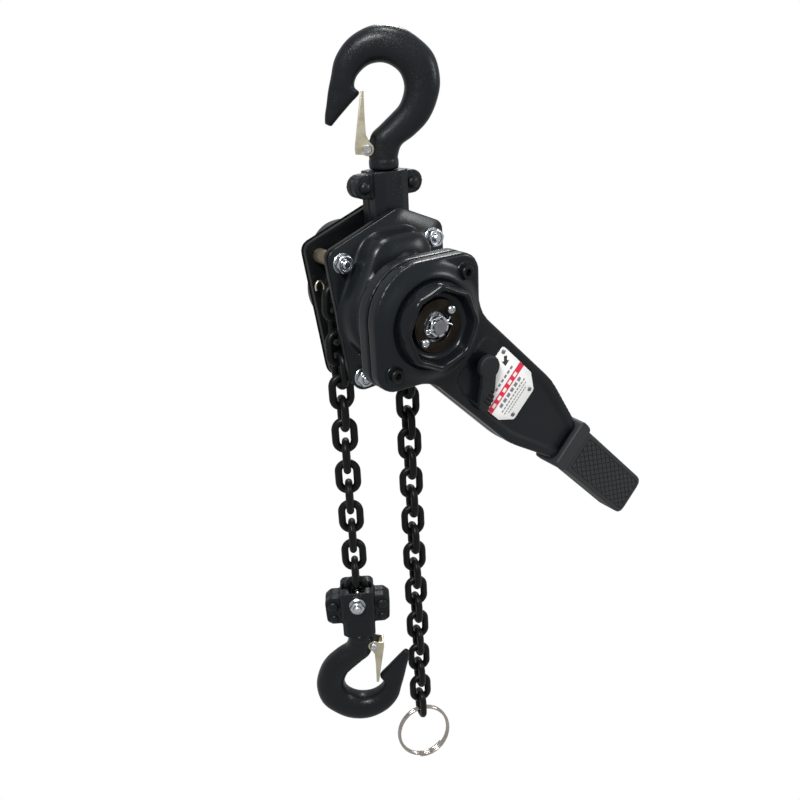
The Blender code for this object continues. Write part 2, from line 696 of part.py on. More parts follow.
def build_drive():
    bore = SHAFT_RADIUS + CLEARANCE
    flange, seat, groove, hub, spline = 0.0340, 0.0254, 0.0180, 0.0124, 0.0105
    profile = [
        (bore, 0.0190),
        (hub, 0.0190),
        (hub, 0.0126),
        (flange, 0.0126),
        (flange, 0.0111),
        (seat, 0.0111),
        (seat, 0.0045),
        (groove, 0.0045),
        (groove, -0.0045),
        (seat, -0.0045),
        (seat, -0.0111),
        (flange, -0.0111),
        (flange, -0.0126),
        (hub, -0.0126),
        (hub, -0.0225),
        (spline, -0.0225),
        (spline, -0.0360),
        (bore, -0.0360),
    ]
    turned("load_sheave", profile, SHEAVE, GROUND_STEEL, steps=28)
    hole = [circle(spline + CLEARANCE, sides=20)]
    slab("load_gear", gear(20, 0.0172, WHEEL_TIP), -0.0255, -0.0355, SHEAVE, GROUND_STEEL, hole)
    for key in DISC_GEAR_ANGLES:
        name = f"disc_gear_{key}"
        x, z = disc_gear_centre(key)
        axis = group(name + "_axis", (x, 0, z), parent=FRAME)
        obj = slab(name, gear(20, 0.0172, WHEEL_TIP), -0.0450, -0.0510, axis, GROUND_STEEL)
        pinion = slab(name + "_pinion", gear(7, 0.0040, PINION_TIP), -0.0255, -0.0500, axis, None)
        boolean(obj, pinion, "UNION")
        boolean(obj, rod(name + "_axle", STAY_RADIUS, -0.0140, -0.0530, axis, None, sides=12), "UNION")
    shaft = rod("pinion_shaft", SHAFT_RADIUS, SHAFT_END, -0.0440, SHEAVE, GROUND_STEEL, sides=20)
    teeth = slab("pinion_teeth", gear(7, 0.0040, PINION_TIP), -0.0435, -0.0520, SHEAVE, None)
    boolean(shaft, teeth, "UNION")
    hub = 0.0120
    rim = 0.0275
    profile = [(bore, 0.0365), (hub, 0.0365), (hub, 0.0245), (rim, 0.0245), (rim, 0.0197), (bore, 0.0197)]
    turned("brake_hub", profile, SHEAVE, GROUND_STEEL)
    inner = hub + CLEARANCE
    for where, front, back in (("inner", 0.0278, 0.0248), ("outer", 0.0364, 0.0334)):
        profile = [(inner, front), (FRICTION_RADIUS, front), (FRICTION_RADIUS, back), (inner, back)]
        turned(f"friction_disc_{where}", profile, SHEAVE, FRICTION)
    teeth = ratchet(12, 0.0275, RATCHET_TIP)
    slab("ratchet_disc", teeth, 0.0331, 0.0281, SHEAVE, GROUND_STEEL, [circle(inner, sides=20)])
    pivot = group("brake_pawl_axis", (BRAKE_PAWL[0], 0, BRAKE_PAWL[1]), parent=FRAME)
    pawl = hull([(0, 0, 0.0042), (0.0090, -0.0140, 0.0016)], sides=12)
    obj = slab("brake_pawl", pawl, 0.0331, 0.0281, pivot, GROUND_STEEL)
    boolean(obj, rod("brake_pawl_pivot", 0.0022, 0.0345, 0.0210, pivot, None, sides=12), "UNION")
    wide = 0.0140
    profile = [
        (bore, 0.0835),
        (HUB_BOSS, 0.0835),
        (HUB_BOSS, 0.0720),
        (wide, 0.0720),
        (wide, 0.0410),
        (FRICTION_RADIUS, 0.0410),
        (FRICTION_RADIUS, 0.0368),
        (bore, 0.0368),
    ]
    obj = turned("change_gear", profile, SHEAVE, GROUND_STEEL)
    teeth = gear(20, 0.0295, CHANGE_GEAR_TIP)
    hole = [circle(0.0130, sides=20)]
    boolean(obj, slab("change_gear_rim", teeth, 0.0700, 0.0620, SHEAVE, None, hole), "UNION")


# ---------------------------------------------------------------- lever

LEVER_CORNERS = (
    (-HEAD_DIAGONAL, 0.0, 0.038),
    (0.0, -HEAD_DIAGONAL, 0.014),
    (HEAD_DIAGONAL - ARM_HALF_WIDTH, -ARM_HALF_WIDTH, 0.028),
    (0.128, -ARM_HALF_WIDTH, 0.070),
    (ARM_END, -0.0170, 0.002),
    (ARM_END, 0.0170, 0.002),
    (0.128, ARM_HALF_WIDTH, 0.070),
    (HEAD_DIAGONAL - ARM_HALF_WIDTH, ARM_HALF_WIDTH, 0.028),
    (0.0, HEAD_DIAGONAL, 0.014),
)
TANG_HALF_WIDTH = 0.0135
TANG_START = 0.165
TANG_FRONT = 0.0770
TANG_BACK = 0.0640
TANG_CORNERS = (
    (TANG_START, -TANG_HALF_WIDTH, 0),
    (TANG_END, -TANG_HALF_WIDTH, 0.003),
    (TANG_END, TANG_HALF_WIDTH, 0.003),
    (TANG_START, TANG_HALF_WIDTH, 0),
)
PANEL_CORNERS = (
    (0.048, -0.0235, 0.004),
    (0.122, -0.0235, 0.030),
    (0.174, -0.0120, 0.003),
    (0.174, 0.0120, 0.003),
    (0.122, 0.0235, 0.030),
    (0.048, 0.0235, 0.004),
)


def lever_shell(name, edge, face, tang_face, side):
    """side is 1 for the front shell, whose face is in front of its open edge, and -1 for the rear shell."""

    def layer(part, outline, one, other, holes=()):
        return slab(f"{name}_{part}", outline, max(one, other), min(one, other), LEVER, None, holes)

    wall = LEVER_WALL
    outline = rounded(LEVER_CORNERS)
    obj = slab(name, outline, max(edge, face), min(edge, face), LEVER, BLACK_COAT)
    boolean(obj, layer("tang", rounded(TANG_CORNERS), edge, tang_face), "UNION")
    open_edge = edge - side * 0.002
    ceiling = face - side * wall
    if side > 0:
        ceiling -= PANEL_DEPTH
    boolean(obj, layer("inside", rounded(inset(LEVER_CORNERS, wall)), open_edge, ceiling))
    tang = inset(TANG_CORNERS, wall)
    into_arm = [(x - 0.004, z, radius) for x, z, radius in (tang[0], tang[3])]
    tang_inside = rounded((into_arm[0], tang[1], tang[2], into_arm[1]))
    boolean(obj, layer("tang_inside", tang_inside, open_edge, tang_face - side * wall))
    round_hole(obj, name + "_shaft_hole", 0.0155, 0.1, 0.05, LEVER, sides=20)
    for sign, where in ((1, "upper"), (-1, "lower")):
        centre = (0, sign * HEAD_SCREW)
        round_hole(obj, f"{name}_{where}_screw_hole", 0.0033, 0.1, 0.05, LEVER, centre, 12)
    return obj


def lever_screw(name, sign):
    centre = (0, sign * HEAD_SCREW)
    top = LEVER_FRONT + CLEARANCE
    head, shank, tall = 0.0047, 0.0030, 0.004
    profile = [(0, top + tall), (head, top + tall), (head, top)]
    profile += [(shank, top), (shank, LEVER_BACK), (0, LEVER_BACK)]
    obj = turned(name, profile, LEVER, BLACK_COAT, centre, 16)
    socket = circle(0.0028, centre, 6)
    return boolean(obj, slab(name + "_socket", socket, top + 0.006, top + 0.0015, LEVER, None))


def grip():
    half, start = 0.0180, 0.180
    body = ((start, -half, 0), (GRIP_END, -half, 0.007), (GRIP_END, half, 0.007), (start, half, 0))
    obj = slab("lever_grip", rounded(body), 0.0805, 0.0600, LEVER, RUBBER)
    half, start, end = 0.0210, 0.1785, 0.192
    collar = ((start, -half, 0.002), (end, -half, 0.004), (end, half, 0.004), (start, half, 0.002))
    boolean(obj, slab("grip_collar", rounded(collar), 0.0830, 0.0575, LEVER, None), "UNION")
    half = TANG_HALF_WIDTH + CLEARANCE
    start, end = 0.170, TANG_END + CLEARANCE
    cavity = ((start, -half), (end, -half), (end, half), (start, half))
    front, back = TANG_FRONT + CLEARANCE, TANG_BACK - CLEARANCE
    return boolean(obj, slab("grip_cavity", cavity, front, back, LEVER, None))


def nameplate():
    corners = ((0.067, -0.0215, 0.002), (0.104, -0.0215, 0.002), (0.117, -0.0135, 0.003))
    corners += ((0.117, 0.0145, 0.003), (0.104, 0.0235, 0.002), (0.067, 0.0235, 0.002))
    floor = LEVER_FRONT - PANEL_DEPTH + CLEARANCE
    outline = rounded([(x, z * 0.97, radius) for x, z, radius in corners])
    slab("nameplate", outline, floor + 0.0008, floor, LEVER, PLATE_WHITE)


def selector():
    axis = group("selector_axis", (SELECTOR[0], 0, SELECTOR[1]), parent=LEVER)
    knob = slab("selector_knob", circle(0.0098, sides=24), 0.0845, 0.0792, axis, PLASTIC)
    finger = ((0.004, -0.010, 0), (0.022, -0.014, 0.003), (0.022, -0.025, 0.003), (0.010, -0.025, 0.004))
    boolean(knob, slab("selector_finger", rounded(finger), 0.0830, 0.0796, axis, None), "UNION")
    neck = hull([(0, 0, 0.006), (0.013, -0.015, 0.006)], sides=12)
    boolean(knob, slab("selector_neck", neck, 0.0835, 0.0798, axis, None), "UNION")
    boolean(knob, rod("selector_stem", 0.0040, 0.0800, 0.0595, axis, None, sides=12), "UNION")
    to_sheave = pi - radians(13.5)
    horns = [around(to_sheave + radians(spread), 0.0275) for spread in (-25, 25)]
    pawl = hull([(0, 0, 0.0075), (*horns[0], 0.001), (*horns[1], 0.001)], sides=12)
    slab("selector_pawl", pawl, 0.0700, 0.0620, axis, GROUND_STEEL, [circle(0.0043, sides=12)])


def build_lever():
    front = lever_shell("lever_front_shell", LEVER_SEAM + CLEARANCE, LEVER_FRONT, TANG_FRONT, 1)
    boss = slab("lever_boss", circle(0.036, sides=32), 0.0829, LEVER_FRONT - 0.001, LEVER, None)
    boolean(front, boss, "UNION")
    boolean(front, slab("lever_boss_inside", circle(0.0335, sides=32), 0.0804, 0.0730, LEVER, None))
    round_hole(front, "lever_boss_hole", 0.0155, 0.1, 0.074, LEVER, sides=20)
    panel = rounded(PANEL_CORNERS)
    boolean(front, slab("lever_panel", panel, LEVER_FRONT + 0.001, LEVER_FRONT - PANEL_DEPTH, LEVER, None))
    round_hole(front, "selector_hole", 0.0043, 0.1, 0.05, LEVER, SELECTOR, 12)
    lever_shell("lever_rear_shell", LEVER_SEAM, LEVER_BACK, TANG_BACK, -1)
    lever_screw("lever_screw_upper", 1)
    lever_screw("lever_screw_lower", -1)
    grip()
    nameplate()
    selector()


# ---------------------------------------------------------------- handwheel end

def wheel_corners(radius, fillet):
    return [(*around(radians(45 * i - 2), radius), fillet) for i in range(8)]


def build_handwheel():
    wall = 0.0024
    outline = rounded(wheel_corners(HANDWHEEL_CORNER, 0.007))
    hole = [circle(HUB_BOSS + CLEARANCE, sides=20)]
    wheel = slab("handwheel", outline, HANDWHEEL_FRONT, HANDWHEEL_BACK, SHEAVE, BLACK_COAT, hole)
    inside = rounded(wheel_corners(HANDWHEEL_CORNER - wall, 0.006))
    boolean(wheel, slab("handwheel_bowl", inside, 0.11, 0.0851, SHEAVE, None))
    screws = {"upper": radians(41), "lower": radians(221)}
    places = {key: around(angle, 0.0145) for key, angle in screws.items()}
    holes = [circle(0.0110, sides=20)] + [circle(0.0018, centre, 10) for centre in places.values()]
    slab("retainer_disc", circle(0.0185, sides=28), 0.0871, 0.0854, SHEAVE, BLACK_COAT, holes)
    for key, centre in places.items():
        round_hole(wheel, f"retainer_{key}_hole", 0.0018, 0.1, 0.07, SHEAVE, centre, 10)
        profile = [(0, 0.0897), (0.0020, 0.0895), (0.0033, 0.0884), (0.0033, 0.0874)]
        profile += [(0.0015, 0.0874), (0.0015, 0.0836), (0, 0.0836)]
        turned(f"retainer_screw_{key}", profile, SHEAVE, BRIGHT_ZINC, centre, 10)
    bore = [circle(SHAFT_RADIUS + CLEARANCE)]
    castle = slab("castle_nut", circle(0.0082, sides=6), 0.0860, 0.0838, SHEAVE, BRIGHT_ZINC, bore)
    crown = slab("castle_crown", circle(0.0072, sides=18), 0.0892, 0.0845, SHEAVE, None, bore)
    boolean(castle, crown, "UNION")
    for i in range(3):
        slot = [(-0.01, -0.0012), (0.01, -0.0012), (0.01, 0.0012), (-0.01, 0.0012)]
        turned_slot = [tilted(point, radians(60 * i - 13)) for point in slot]
        boolean(castle, slab(f"castle_slot_{i}", turned_slot, 0.0900, 0.0865, SHEAVE, None))
    axis = group("split_pin_axis", (0, -0.0883, 0), (0, radians(13), 0), SHEAVE)
    shaft = bpy.data.objects["pinion_shaft"]
    boolean(shaft, cross_rod("split_pin_hole", 0.0013, 0.0200, axis, None))
    pin = cross_rod("split_pin", 0.0010, 0.0185, axis, BRIGHT_ZINC)
    eye = rod("split_pin_eye", 0.0016, 0.0009, -0.0009, axis, None, (-0.0088, 0), 10)
    boolean(pin, eye, "UNION")


def cross_rod(name, radius, length, parent, finish):
    """A round bar along the parent's X."""
    edit = bmesh.new()
    turn = Matrix.Rotation(pi / 2, 4, "Y")
    bmesh.ops.create_cone(
        edit,
        cap_ends=True,
        segments=10,
        radius1=radius,
        radius2=radius,
        depth=length,
        matrix=turn,
    )
    mesh = bpy.data.meshes.new(name)
    edit.to_mesh(mesh)
    edit.free()
    return add_object(name, mesh, parent, finish)


# ---------------------------------------------------------------- chain

def link_mesh(place):
    """One closed link of round bar. In its own frame it is long in Z and flat in XZ."""
    reach = CHAIN_PITCH / 2 - (LINK_WIDTH - 2 * CHAIN_WIRE) / 2
    bend = (LINK_WIDTH - CHAIN_WIRE) / 2
    points = []
    for middle, start in ((reach, 0), (-reach, pi)):
        for step in range(5):
            angle = start + pi * step / 4
            points.append(place @ Vector((bend * cos(angle), 0, middle + bend * sin(angle))))
    curve = bpy.data.curves.new("link", "CURVE")
    curve.dimensions = "3D"
    curve.bevel_depth = CAD_WIRE_RADIUS
    curve.bevel_resolution = 1
    add_spline(curve, [tuple(point) for point in points], True)
    return mesh_of_curve(curve)


def joined(meshes, name):
    edit = bmesh.new()
    for mesh in meshes:
        edit.from_mesh(mesh)
        bpy.data.meshes.remove(mesh)
    bmesh.ops.recalc_face_normals(edit, faces=edit.faces)
    result = bpy.data.meshes.new(name)
    edit.to_mesh(result)
    edit.free()
    return result


def plug_mesh(place):
    """The core of the joint between two links, so that a strand is one solid."""
    edit = bmesh.new()
    bmesh.ops.create_cube(edit, size=0.0038, matrix=place)
    mesh = bpy.data.meshes.new("plug")
    edit.to_mesh(mesh)
    edit.free()
    return mesh


def chain(name, places, parent=None):
    """Every other link is one mesh. The links between them and the plugs join it with unions."""
    meshes = [link_mesh(place) for place in places]
    plugs = []
    for one, other in zip(places, places[1:]):
        middle = (one.translation + other.translation) / 2
        plugs.append(plug_mesh(Matrix.Translation(middle) @ one.to_3x3().to_4x4()))
    obj = add_object(name, joined(meshes[0::2], name), parent, BLACK_STEEL)
    for label, tools in (("between", meshes[1::2]), ("plugs", plugs)):
        boolean(obj, add_object(f"{name}_{label}", joined(tools, f"{name}_{label}"), parent, None), "UNION")
    return obj


def on_chain(distance, flat, turn=0.0, lift=0.0):
    """The place of a link at a distance along the chain, from level with the sheave axis on the hook side."""
    upright = Matrix.Rotation(turn + (pi / 2 if flat else 0), 4, "Z")
    if distance < 0 or distance > HALF_WRAP:
        side = -1 if distance < 0 else 1
        height = distance if distance < 0 else HALF_WRAP - distance
        place = (SHEAVE_X + side * SHEAVE_PITCH_RADIUS, 0, SHEAVE_Z + height + lift)
        return Matrix.Translation(place) @ upright
    angle = pi - pi * distance / HALF_WRAP
    place = (SHEAVE_X + SHEAVE_PITCH_RADIUS * cos(angle), 0, SHEAVE_Z + SHEAVE_PITCH_RADIUS * sin(angle))
    return Matrix.Translation(place) @ Matrix.Rotation(pi - angle, 4, "Y") @ upright


def build_chain():
    """Links are counted from the lowest wrapped link on the hook side, which lies across the sheave."""

    def place(count, turn=0.0, lift=0.0):
        return on_chain(HOOK_STRAND_TOP + count * CHAIN_PITCH, count % 2 == 0, turn, lift)

    chain("chain_wrap", [place(count) for count in range(WRAPPED_LINKS)])
    for hand, sizes, full_turn, first, way in (
        ("hook", HOOK_STRAND_LINKS, HOOK_TURN, -1, -1),
        ("slack", SLACK_STRAND_LINKS, SLACK_TURN, WRAPPED_LINKS, 1),
    ):
        upper = [place(first + way * i, 0.0, STRAND_LIFT) for i in range(sizes[0])]
        chain(f"{hand}_chain_upper", upper)
        lower = []
        for i in range(sizes[1]):
            turn = full_turn * min(1.0, (i + 1) / 4)
            lower.append(place(first + way * (sizes[0] + i), turn, 2 * STRAND_LIFT))
        chain(f"{hand}_chain_lower", lower)
    last = place(WRAPPED_LINKS + sum(SLACK_STRAND_LINKS) - 1, SLACK_TURN, 2 * STRAND_LIFT).translation
    end_ring(last)


def end_ring(last_link):
    """The ring hangs in the lowest eye of the slack strand."""
    eye = last_link.z - CHAIN_PITCH / 2 + RING_WIRE + 0.0006
    axis = group("end_ring_axis", (last_link.x, 0, eye), (RING_LEAN, 0, SLACK_TURN))
    bpy.ops.mesh.primitive_torus_add(
        major_radius=RING_RADIUS,
        minor_radius=RING_WIRE,
        major_segments=32,
        minor_segments=8,
    )
    ring = bpy.context.object
    ring.name = "end_ring"
    for holder in list(ring.users_collection):
        holder.objects.unlink(ring)
    PARTS.objects.link(ring)
    ring.data.materials.append(NICKEL)
    ring.parent = axis
    ring.location = (0, 0, -RING_RADIUS)
    ring.rotation_euler = (pi / 2, 0, 0)


# ---------------------------------------------------------------- bottom hook assembly

def build_bottom():
    count = -1 - sum(HOOK_STRAND_LINKS) + 1
    link = on_chain(HOOK_STRAND_TOP + count * CHAIN_PITCH, False, 0, 2 * STRAND_LIFT).translation
    bolt_z = link.z + BOLT_IN_LINK
    yoke = group("bottom_yoke_group", (link.x, 0, bolt_z), (0, 0, HOOK_TURN))
    turn_over = (0, pi, 0)
    saddle = -BOLT_TO_YOKE_FACE - SADDLE_TO_YOKE
    bottom = group("bottom_hook_group", (0, 0, saddle), turn_over, yoke)
    hook("bottom_hook", bottom)
    latch("bottom_latch", bottom)
    latch_pin("bottom_latch_pin", bottom)
    for name, side in (("bottom_yoke_front", 1), ("bottom_yoke_rear", -1)):
        bottom_yoke_half(name, side, yoke)
    shank, head, head_back = 0.0032, 0.0058, -0.0133
    profile = [(0, 0.0210), (shank, 0.0210), (shank, head_back)]
    profile += [(head, head_back), (head, -0.0170), (0, -0.0170)]
    turned("bottom_yoke_bolt", profile, yoke, BRIGHT_ZINC, steps=12)
    slab(
        "bottom_yoke_nut",
        circle(0.0060, sides=6),
        0.0186,
        0.0133,
        yoke,
        BRIGHT_ZINC,
        [circle(0.0035, sides=12)],
    )


def bottom_yoke_half(name, side, yoke):
    gap = CLEARANCE / 2
    face = -BOLT_TO_YOKE_FACE + CLEARANCE

    def prism(part, outline, low, high, finish=None):
        return block(part, [(x, -side * y) for x, y in outline], low, high, yoke, finish)

    wide = [(-0.014, gap), (0.014, gap), (0.014, 0.0105), (0.0115, 0.013), (-0.0115, 0.013), (-0.014, 0.0105)]
    obj = prism(name, wide, -0.0145, 0.0140, BLACK_COAT)
    neck = [(-0.0135, gap), (0.0135, gap), (0.0135, 0.008)]
    neck += [(0.008, 0.0113), (-0.008, 0.0113), (-0.0135, 0.008)]
    boolean(obj, prism(name + "_neck", neck, face, -0.0100), "UNION")
    ears = ((-0.0270, 0.0015), (-0.0225, 0.0065), (0.0225, 0.0065), (0.0270, 0.0015))
    ears += ((0.0270, -0.0150), (0.0225, -0.0200), (-0.0225, -0.0200), (-0.0270, -0.0150))
    front, back = sorted((side * 0.0075, side * gap), reverse=True)
    boolean(obj, slab(name + "_ears", ears, front, back, yoke, None), "UNION")
    boolean(obj, stem_cavity(name + "_stem_cavity", -BOLT_TO_YOKE_FACE, 1, yoke))
    link_room = [(-0.0126, -0.001), (0.0126, -0.001), (0.0126, 0.0041), (-0.0126, 0.0041)]
    boolean(obj, prism(name + "_link_room", link_room, -0.0112, 0.0200))
    next_room = [(-0.0060, -0.001), (0.0060, -0.001), (0.0060, 0.0111), (-0.0060, 0.0111)]
    boolean(obj, prism(name + "_next_room", next_room, 0.0050, 0.0200))
    return round_hole(obj, name + "_bolt_hole", 0.0035, 0.03, -0.03, yoke, sides=12)


build_top()
build_frame()
build_drive()
build_lever()
build_handwheel()
build_chain()
build_bottom()
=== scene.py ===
"""Looks of the lever chain hoist: pressed and forged pieces, chain, lever, handwheel, finishes and studio.

Metres, +Z up, lever side towards -Y. "Front" is the distance towards the lever side, so front = -y.
"""

import json
from math import atan2, ceil, cos, pi, radians, sin, tan

import bmesh
import bpy
import numpy as np
from mathutils import Matrix, Quaternion, Vector


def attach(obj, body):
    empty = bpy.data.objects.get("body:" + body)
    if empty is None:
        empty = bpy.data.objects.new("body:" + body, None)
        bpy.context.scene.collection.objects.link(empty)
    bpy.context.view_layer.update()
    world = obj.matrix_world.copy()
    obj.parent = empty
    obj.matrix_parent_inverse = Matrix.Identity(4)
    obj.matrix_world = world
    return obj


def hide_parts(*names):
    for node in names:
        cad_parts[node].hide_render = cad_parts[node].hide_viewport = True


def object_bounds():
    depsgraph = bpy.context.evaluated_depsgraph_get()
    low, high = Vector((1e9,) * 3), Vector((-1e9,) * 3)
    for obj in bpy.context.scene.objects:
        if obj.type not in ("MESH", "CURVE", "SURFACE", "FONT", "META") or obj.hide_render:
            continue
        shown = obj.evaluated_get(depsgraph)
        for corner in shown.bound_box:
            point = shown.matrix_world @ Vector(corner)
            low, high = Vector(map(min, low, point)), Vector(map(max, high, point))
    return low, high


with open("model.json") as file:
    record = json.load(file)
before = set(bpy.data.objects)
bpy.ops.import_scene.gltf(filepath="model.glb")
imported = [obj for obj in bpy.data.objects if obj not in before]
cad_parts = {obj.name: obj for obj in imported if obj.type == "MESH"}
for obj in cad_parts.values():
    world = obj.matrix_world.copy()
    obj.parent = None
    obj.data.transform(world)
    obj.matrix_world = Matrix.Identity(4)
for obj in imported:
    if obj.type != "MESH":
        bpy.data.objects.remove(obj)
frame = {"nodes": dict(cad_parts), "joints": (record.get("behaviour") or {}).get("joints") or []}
CAD_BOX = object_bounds()
JOINTS = {joint["name"]: joint for joint in frame["joints"]}


def joint_at(name):
    return Vector(JOINTS[name]["pos_m"])


# ---------------------------------------------------------------- places

FRAME_TILT = radians(5)
LEVER_ANGLE = radians(-44.5)
HOOK_AXIS = Vector(JOINTS["bottom_yoke_tilt"]["axis"])
HOOK_TURN = atan2(-HOOK_AXIS.x, HOOK_AXIS.y)
SLACK_TURN = radians(-15)
MM = 0.001

SHEAVE_CENTRE = joint_at("sheave_spin")
BOLT_CENTRE = joint_at("bottom_yoke_tilt")
SADDLE_TO_YOKE = 0.070
SADDLE_TO_PIN = 0.110
BOLT_TO_YOKE_FACE = 0.034

AT_DRIVE = Matrix.Translation(SHEAVE_CENTRE)
AT_FRAME = AT_DRIVE @ Matrix.Rotation(-FRAME_TILT, 4, "Y")
AT_LEVER = AT_DRIVE @ Matrix.Rotation(-LEVER_ANGLE, 4, "Y")
AT_TOP_HOOK = Matrix.Rotation(HOOK_TURN, 4, "Z")
AT_TOP_YOKE = Matrix.Translation((0, 0, -SADDLE_TO_YOKE))
AT_BOTTOM_YOKE = Matrix.Translation(BOLT_CENTRE) @ Matrix.Rotation(HOOK_TURN, 4, "Z")
BOTTOM_SADDLE = Matrix.Translation((0, 0, -BOLT_TO_YOKE_FACE - SADDLE_TO_YOKE))
AT_BOTTOM_HOOK = AT_BOTTOM_YOKE @ BOTTOM_SADDLE @ Matrix.Rotation(pi, 4, "Y")

# Driving sizes, as on the solids
PLATE_CORNERS = (
    (0.0225, 0.0660, 0.010),
    (-0.0395, 0.0475, 0.008),
    (-0.0345, -0.0590, 0.012),
    (0.0500, -0.0590, 0.012),
    (0.0575, 0.0475, 0.008),
)
PLATE_INNER = 0.0133
PLATE_OUTER = 0.0173
FLANGE_INNER = 0.0176
FLANGE_OUTER = 0.0206
UPPER_STAYS = {"left": (-0.029, 0.0385), "right": (0.047, 0.0385)}
LOWER_STUDS = {"left": (-0.026, -0.048), "right": (0.044, -0.048)}
COVER_LOBES = ((0.0, -0.003, 0.0365), (0.002, 0.033, 0.0195), (0.020, 0.034, 0.0170))
COVER_CORE = ((0.0, -0.002, 0.0345), (0.014, 0.028, 0.0120))
COVER_STEP = 0.0375
COVER_FRONT = 0.0515
GEAR_CENTRES = 0.026
GEAR_COVER_BACK = -0.056
LEVER_BACK = 0.0555
LEVER_SEAM = 0.067
LEVER_FRONT = 0.078
LEVER_WALL = 0.0025
HEAD_DIAGONAL = 0.060
ARM_HALF_WIDTH = 0.0295
ARM_END = 0.178
TANG_END = 0.276
GRIP_END = 0.288
PANEL_DEPTH = 0.002
HEAD_SCREW = 0.042
SELECTOR = (0.062, 0.003)
GAP = 0.0003
CLIP_DEPTH = 0.008


# ---------------------------------------------------------------- nodes written as sums

class Value:
    """A socket that takes part in sums with numbers and other sockets."""

    def __init__(self, nodes, socket):
        self.nodes = nodes
        self.socket = socket

    def _with(self, operation, *values):
        return self.nodes.node("ShaderNodeMath", {"operation": operation}, dict(enumerate(values)))

    def __add__(self, other):
        return self._with("ADD", self, other)

    def __radd__(self, other):
        return self._with("ADD", other, self)

    def __sub__(self, other):
        return self._with("SUBTRACT", self, other)

    def __mul__(self, other):
        return self._with("MULTIPLY", self, other)

    def __truediv__(self, other):
        return self._with("DIVIDE", self, other)

    def __mod__(self, other):
        return self._with("FLOORED_MODULO", self, other)

    def minimum(self, other):
        return self._with("MINIMUM", self, other)


class Nodes:
    """Adds nodes to one tree."""

    def __init__(self, tree):
        self.tree = tree

    def node(self, kind, settings=None, sockets=None, output=0):
        made = self.tree.nodes.new(kind)
        for key, value in (settings or {}).items():
            if key == "stops":
                elements = made.color_ramp.elements
                while len(elements) < len(value):
                    elements.new(0.5)
                for element, (position, level) in zip(elements, value):
                    element.position = position
                    element.color = (level, level, level, 1)
            else:
                setattr(made, key, value)
        for key, value in (sockets or {}).items():
            self.feed(made.inputs[key], value)
        return Value(self, made.outputs[output])

    def feed(self, socket, value):
        if isinstance(value, Value):
            self.tree.links.new(value.socket, socket)
        else:
            socket.default_value = value

    def noise(self, place, per_metre, detail=3.0, roughness=0.5):
        sockets = {"Vector": place, "Scale": per_metre, "Detail": detail, "Roughness": roughness}
        return self.node("ShaderNodeTexNoise", {}, sockets, "Fac")

    def spread(self, value, low, high):
        """Stretches the part of a pattern between low and high to 0..1."""
        return self.node("ShaderNodeValToRGB", {"stops": ((low, 0.0), (high, 1.0))}, {"Fac": value})

    def mix(self, first, second, share):
        sockets = {"Factor": share, 6: (*first, 1) if isinstance(first, tuple) else first}
        sockets[7] = (*second, 1) if isinstance(second, tuple) else second
        return self.node("ShaderNodeMix", {"data_type": "RGBA"}, sockets, 2)

    def bump(self, height, depth, strength=1.0):
        sockets = {"Height": height, "Distance": depth, "Strength": strength}
        return self.node("ShaderNodeBump", {}, sockets)


# ---------------------------------------------------------------- finishes

def new_finish(name, fixed):
    """A material with its constant settings, its nodes, and object coordinates to work from."""
    finish = bpy.data.materials.new(name)
    finish.use_nodes = True
    shader = finish.node_tree.nodes["Principled BSDF"]
    for key, value in fixed.items():
        shader.inputs[key].default_value = value
    nodes = Nodes(finish.node_tree)
    place = nodes.node("ShaderNodeTexCoord", output="Object")
    return finish, shader, nodes, place


def coat_finish(name, tone, rough, peel_depth, dust=0.25):
    """Powder coat: faint clouds of tone, orange peel and a little dust."""
    finish, shader, nodes, place = new_finish(name, {"Metallic": 0.0, "Specular IOR Level": 0.22})
    clouds = nodes.noise(place, 35, 4)
    specks = nodes.spread(nodes.noise(place, 520, 5, 0.65), 0.60, 0.74)
    dark = tuple(c * 0.8 for c in tone)
    light = tuple(c * 1.25 for c in tone)
    dusty = tuple(c * 2.6 + 0.01 for c in tone)
    colour = nodes.mix(nodes.mix(dark, light, clouds), dusty, specks * dust)
    peel = nodes.noise(place, 700, 2)
    nodes.feed(shader.inputs["Base Color"], colour)
    nodes.feed(shader.inputs["Roughness"], rough + (clouds - 0.5) * 0.16 + specks * 0.12)
    nodes.feed(shader.inputs["Normal"], nodes.bump(peel, peel_depth))
    return finish


def forged_finish(name, tone, rough):
    """Painted drop forging: uneven skin, fine pits, and rubbed high spots."""
    finish, shader, nodes, place = new_finish(name, {"Metallic": 0.0, "Specular IOR Level": 0.22})
    skin = nodes.noise(place, 160, 4, 0.6)
    pits = nodes.spread(nodes.noise(place, 900, 3, 0.7), 0.30, 0.46)
    clouds = nodes.noise(place, 45, 3)
    rubbed = nodes.spread(nodes.noise(place, 75, 6, 0.7), 0.62, 0.76)
    colour = nodes.mix(tuple(c * 0.75 for c in tone), tuple(c * 1.35 for c in tone), clouds)
    colour = nodes.mix(colour, tuple(c * 2.4 for c in tone), rubbed * 0.35)
    nodes.feed(shader.inputs["Base Color"], colour)
    nodes.feed(shader.inputs["Roughness"], rough + (clouds - 0.5) * 0.2 - rubbed * 0.06)
    nodes.feed(shader.inputs["Normal"], nodes.bump(skin * 0.7 + pits * 0.3, 0.00022))
    return finish


